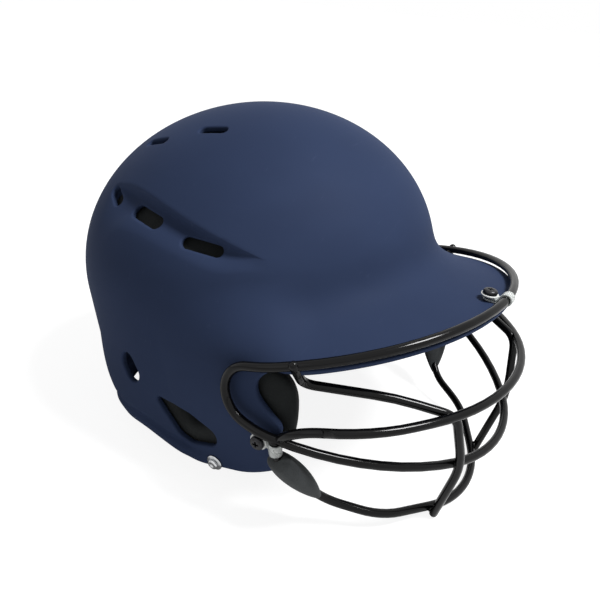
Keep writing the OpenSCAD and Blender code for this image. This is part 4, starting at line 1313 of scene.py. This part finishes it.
def cut_recess(piece, spot):
    """Cuts a driver's cross recess, narrower at its floor, into a screw's head; keeps edges crisp."""
    top = HEAD_BASE + HEAD_H
    for c, s in ((1, 0), (0, 1)):
        corners = []
        for z, k in ((top + 0.6, 1.0), (top - RECESS_DEPTH, RECESS_TAPER)):
            for x, y in ((-1, -1), (1, -1), (1, 1), (-1, 1)):
                x, y = x * RECESS_L * k, y * RECESS_W
                corners.append([x * c - y * s, x * s + y * c, z])
        mesh = bpy.data.meshes.new("recess")
        faces = [(0, 1, 2, 3), (7, 6, 5, 4)] + strip(0, 4, 4)
        mesh.from_pydata(stand(placed(corners, *spot)).tolist(), [], faces)
        turn_out(mesh)
        tool = bpy.data.objects.new("recess", mesh)
        bpy.context.collection.objects.link(tool)
        cut = piece.modifiers.new("recess", "BOOLEAN")
        cut.operation, cut.solver, cut.object = "DIFFERENCE", "EXACT", tool
        view = bpy.context.evaluated_depsgraph_get()
        done = bpy.data.meshes.new_from_object(piece.evaluated_get(view))
        piece.modifiers.clear()
        piece.data = done
        bpy.data.objects.remove(tool)
        bpy.data.meshes.remove(mesh)
    piece.data.polygons.foreach_set("use_smooth", [True] * len(piece.data.polygons))
    piece.data.set_sharp_from_angle(angle=math.radians(SHARP_ANGLE))


def washer_mesh():
    low, inner_r, outer_r = HEAD_BASE - WASHER_T - 0.05, (SCREW_D + GAP) / 2, WASHER_D / 2
    high = low + WASHER_T
    return ring_mesh(rounded([(inner_r, low), (outer_r, low), (outer_r, high), (inner_r, high)], 0.3))


def nut_mesh():
    low = -SHELL_T - NUT_SEAT - NUT_H
    high, step = low + NUT_H, low + NUT_H - NUT_FLANGE_T
    bore, barrel, flange = SCREW_D / 2 + 0.1, (SCREW_D + 3) / 2, NUT_FLANGE_D / 2
    return ring_mesh(rounded([(bore, low), (barrel, low), (barrel, step), (flange, step), (flange, high),
                              (bore, high)], 0.35))


def add_fixed(name, shape, spot, slot, node):
    points, faces = shape
    return add_piece(name, (placed(points, *spot), faces), slot, node)


def make_fastener(place, tail, a, z, side, along):
    """Screw, washer and nut at one place."""
    spot = (*seat(a, z, side), sided(along, side))
    name = place + tail
    screw = add_fixed(f"{name}_pan_screw", screw_mesh(), spot, "screw_steel", f"{place}_screw{tail}")
    cut_recess(screw, spot)
    add_fixed(f"{name}_round_washer", washer_mesh(), spot, "washer_nylon", f"{place}_washer{tail}")
    add_fixed(f"{name}_tee_nut", nut_mesh(), spot, "nut_steel", f"{place}_nut{tail}")


def clip_path(length, height):
    """Middle line of the folded strip, in the plane of the screw and the wire."""
    r = WIRE_R + STRIP_GAP + STRIP_T / 2
    low, high = GAP + STRIP_T / 2 + 0.02, GAP + 2 * CLIP_T - STRIP_T / 2 - 0.02
    centre = np.array([length, height])
    rear, leave = -CLIP_W / 2, WASHER_D / 2 + 0.3

    def tangent(p, way):
        d = centre - p
        reach = np.linalg.norm(d)
        turn = math.atan2(d[1], d[0]) - way * math.asin(min(1.0, r / reach))
        return p + math.sqrt(max(0.0, reach * reach - r * r)) * np.array([math.cos(turn), math.sin(turn)])
    start, stop = np.array([leave, low]), np.array([leave, high])
    t0, t1 = tangent(start, 1), tangent(stop, -1)
    a0, a1 = (math.atan2(*(t - centre)[::-1]) for t in (t0, t1))
    while a1 <= a0:
        a1 += 2 * math.pi
    arc = [centre + r * np.array([math.cos(t), math.sin(t)]) for t in np.linspace(a0, a1, 40)]
    return np.array([(x, low) for x in np.linspace(rear, leave, 14)]
                    + [mix(start, t0, s) for s in (0.35, 0.7)] + arc
                    + [mix(t1, stop, s) for s in (0.35, 0.7)]
                    + [(x, high) for x in np.linspace(leave, rear, 14)])


def clip_mesh(length, height):
    """Strip of nylon folded round the wire, with round ends under the screw."""
    path = clip_path(length, height)
    way = unit(np.gradient(path, axis=0))
    half, t, e = CLIP_W / 2, STRIP_T / 2, 0.3
    from_end = np.minimum(path[:, 0] + half, half)
    width = np.where(path[:, 0] < 0, np.sqrt(np.maximum(0.04, half ** 2 - (half - from_end) ** 2)), half)
    section = rounded([(-1, -t), (1, -t), (1, t), (-1, t)], e, 3)
    points = []
    for p, w, half_w in zip(path, way, width):
        inner = max(0.0, half_w - e)
        for s, h in section:
            across = math.copysign(inner + (abs(s) - (1 - e)) if abs(s) > 1 - e else abs(s) * inner, s)
            points.append([p[0] - w[1] * h, across, p[1] + w[0] * h])
    n, m = len(path), len(section)
    return points, tube(n, m) + [range(m), range((n - 1) * m, n * m)[::-1]]


def make_clip(name, node, a, z, wire_point, side):
    """A clip from its screw to a wire; gives the way to the wire."""
    at, out = seat(a, z, 1)
    to_wire = wire_point - at
    height = float(to_wire @ out)
    points, faces = clip_mesh(float(np.linalg.norm(to_wire - height * out)), height)
    add_piece(name, (placed(points, at, out, to_wire), faces), "clip_nylon", node, side)
    return to_wire


def stud_mesh():
    """A riveted snap stud: a flange inside the wall, a neck through it, a flange and a cap outside."""
    t, r, neck, cap_r = STUD_FLANGE_T, STUD_D * 0.78, STUD_D * 0.34, STUD_D / 2
    low, cap = -(SHELL_T + GAP + t), STUD_H * 0.45
    profile = [(0, low), (r - 0.3, low), (r, low + 0.25), (r, low + t - 0.1), (r - 0.1, low + t),
               (neck, low + t + 0.05), (neck, GAP - 0.05), (r - 0.1, GAP), (r, GAP + 0.15),
               (r - 0.1, GAP + 0.55), (r - 0.6, GAP + t), (neck + 0.3, GAP + t + 0.05),
               (neck, GAP + t + 0.3), (neck, cap), (cap_r - 0.35, cap), (cap_r, cap + 0.35),
               (cap_r, STUD_H - 0.7), (cap_r - 0.25, STUD_H - 0.25), (cap_r - 0.8, STUD_H),
               (STUD_D * 0.22, STUD_H), (STUD_D * 0.16, STUD_H - 0.35), (0, STUD_H - 0.5)]
    return turned_mesh(profile, 56)


def make_fasteners():
    loop = RISER_TOP + unit(RISER_LOW - RISER_TOP) * LOOP_DROP
    to_wire = make_clip("brim_strap_clip", "brim_clip", 0, BRIM_SCREW_Z,
                        np.array([0, -BRIM_FRONT, BRIM_WIRE_Z]), 1)
    make_fastener("brim", "", 0, BRIM_SCREW_Z, 1, to_wire)
    for name, side in SIDES:
        place = (EAR_SCREW_A, EAR_SCREW_Z)
        to_wire = make_clip(f"ear_strap_clip_{name}", f"ear_clip_{name}", *place, loop, side)
        make_fastener("ear", f"_{name}", *place, side, to_wire)
        spot = (*seat(STUD_A, rim_z(STUD_A) + STUD_LEVEL, side), [0, 0.3, 1])
        add_fixed(f"strap_stud_{name}", stud_mesh(), spot, "stud_steel", f"chin_stud_{name}")


make_fasteners()


# Stage: a white floor and surround; each light has a place, a width and a power

FLOOR_HALF = 30.0
FLOOR_SEEN = (0.32, 0.32, 0.32, 1)
FLOOR_SHINE = (0.8, 0.8, 0.8, 1)
FLOOR_GLOW = 0.88
WORLD_DIM = 0.28
LIGHT_AIM = (0, 0, 0.1)
LIGHTS = {"key": ((0.1, -0.8, 1.5), 0.5, 32.0), "fill": ((-1.4, 0.3, 0.9), 1.2, 1.2)}


def make_floor():
    size = FLOOR_HALF
    mesh = bpy.data.meshes.new("floor")
    mesh.from_pydata([(-size, -size, 0), (size, -size, 0), (size, size, 0), (-size, size, 0)], [],
                     [(0, 1, 2, 3)])
    f = Finish("floor_paint", {"Roughness": 0.9, "Specular IOR Level": 0.1,
                               "Emission Color": (1, 1, 1, 1)})
    seen = f.node("ShaderNodeLightPath", {}, "Is Camera Ray")
    f.put(f.shader, {"Base Color": f.blend(seen, FLOOR_SHINE, FLOOR_SEEN),
                     "Emission Strength": f.level(seen, 0, 1, 0.0, FLOOR_GLOW)})
    mesh.materials.append(f.material)
    floor = bpy.data.objects.new("floor", mesh)
    bpy.context.collection.objects.link(floor)


def make_world():
    """A white surround, at full strength for what looks at it and dimmer for what it lights."""
    world = bpy.data.worlds.new("world")
    bpy.context.scene.world = world
    nodes = Nodes(world)
    bright = 0.0
    for ray in ("Camera", "Transmission", "Glossy"):
        seen = nodes.node("ShaderNodeLightPath", {}, f"Is {ray} Ray")
        bright = nodes.math("MAXIMUM", seen, bright)
    nodes.put(nodes.tree.nodes["Background"], {"Color": (1, 1, 1, 1),
                                               "Strength": nodes.level(bright, 0, 1, WORLD_DIM)})


def add_light(name, at, size, power):
    data = bpy.data.lights.new(name, "AREA")
    data.shape, data.size, data.energy = "DISK", size, power
    light = bpy.data.objects.new(name, data)
    light.location = at
    light.rotation_euler = (Vector(at) - Vector(LIGHT_AIM)).to_track_quat("Z", "Y").to_euler()
    bpy.context.collection.objects.link(light)


make_floor()
make_world()
for name, light in LIGHTS.items():
    add_light(name, *light)
bpy.context.scene.view_settings.view_transform = "Standard"
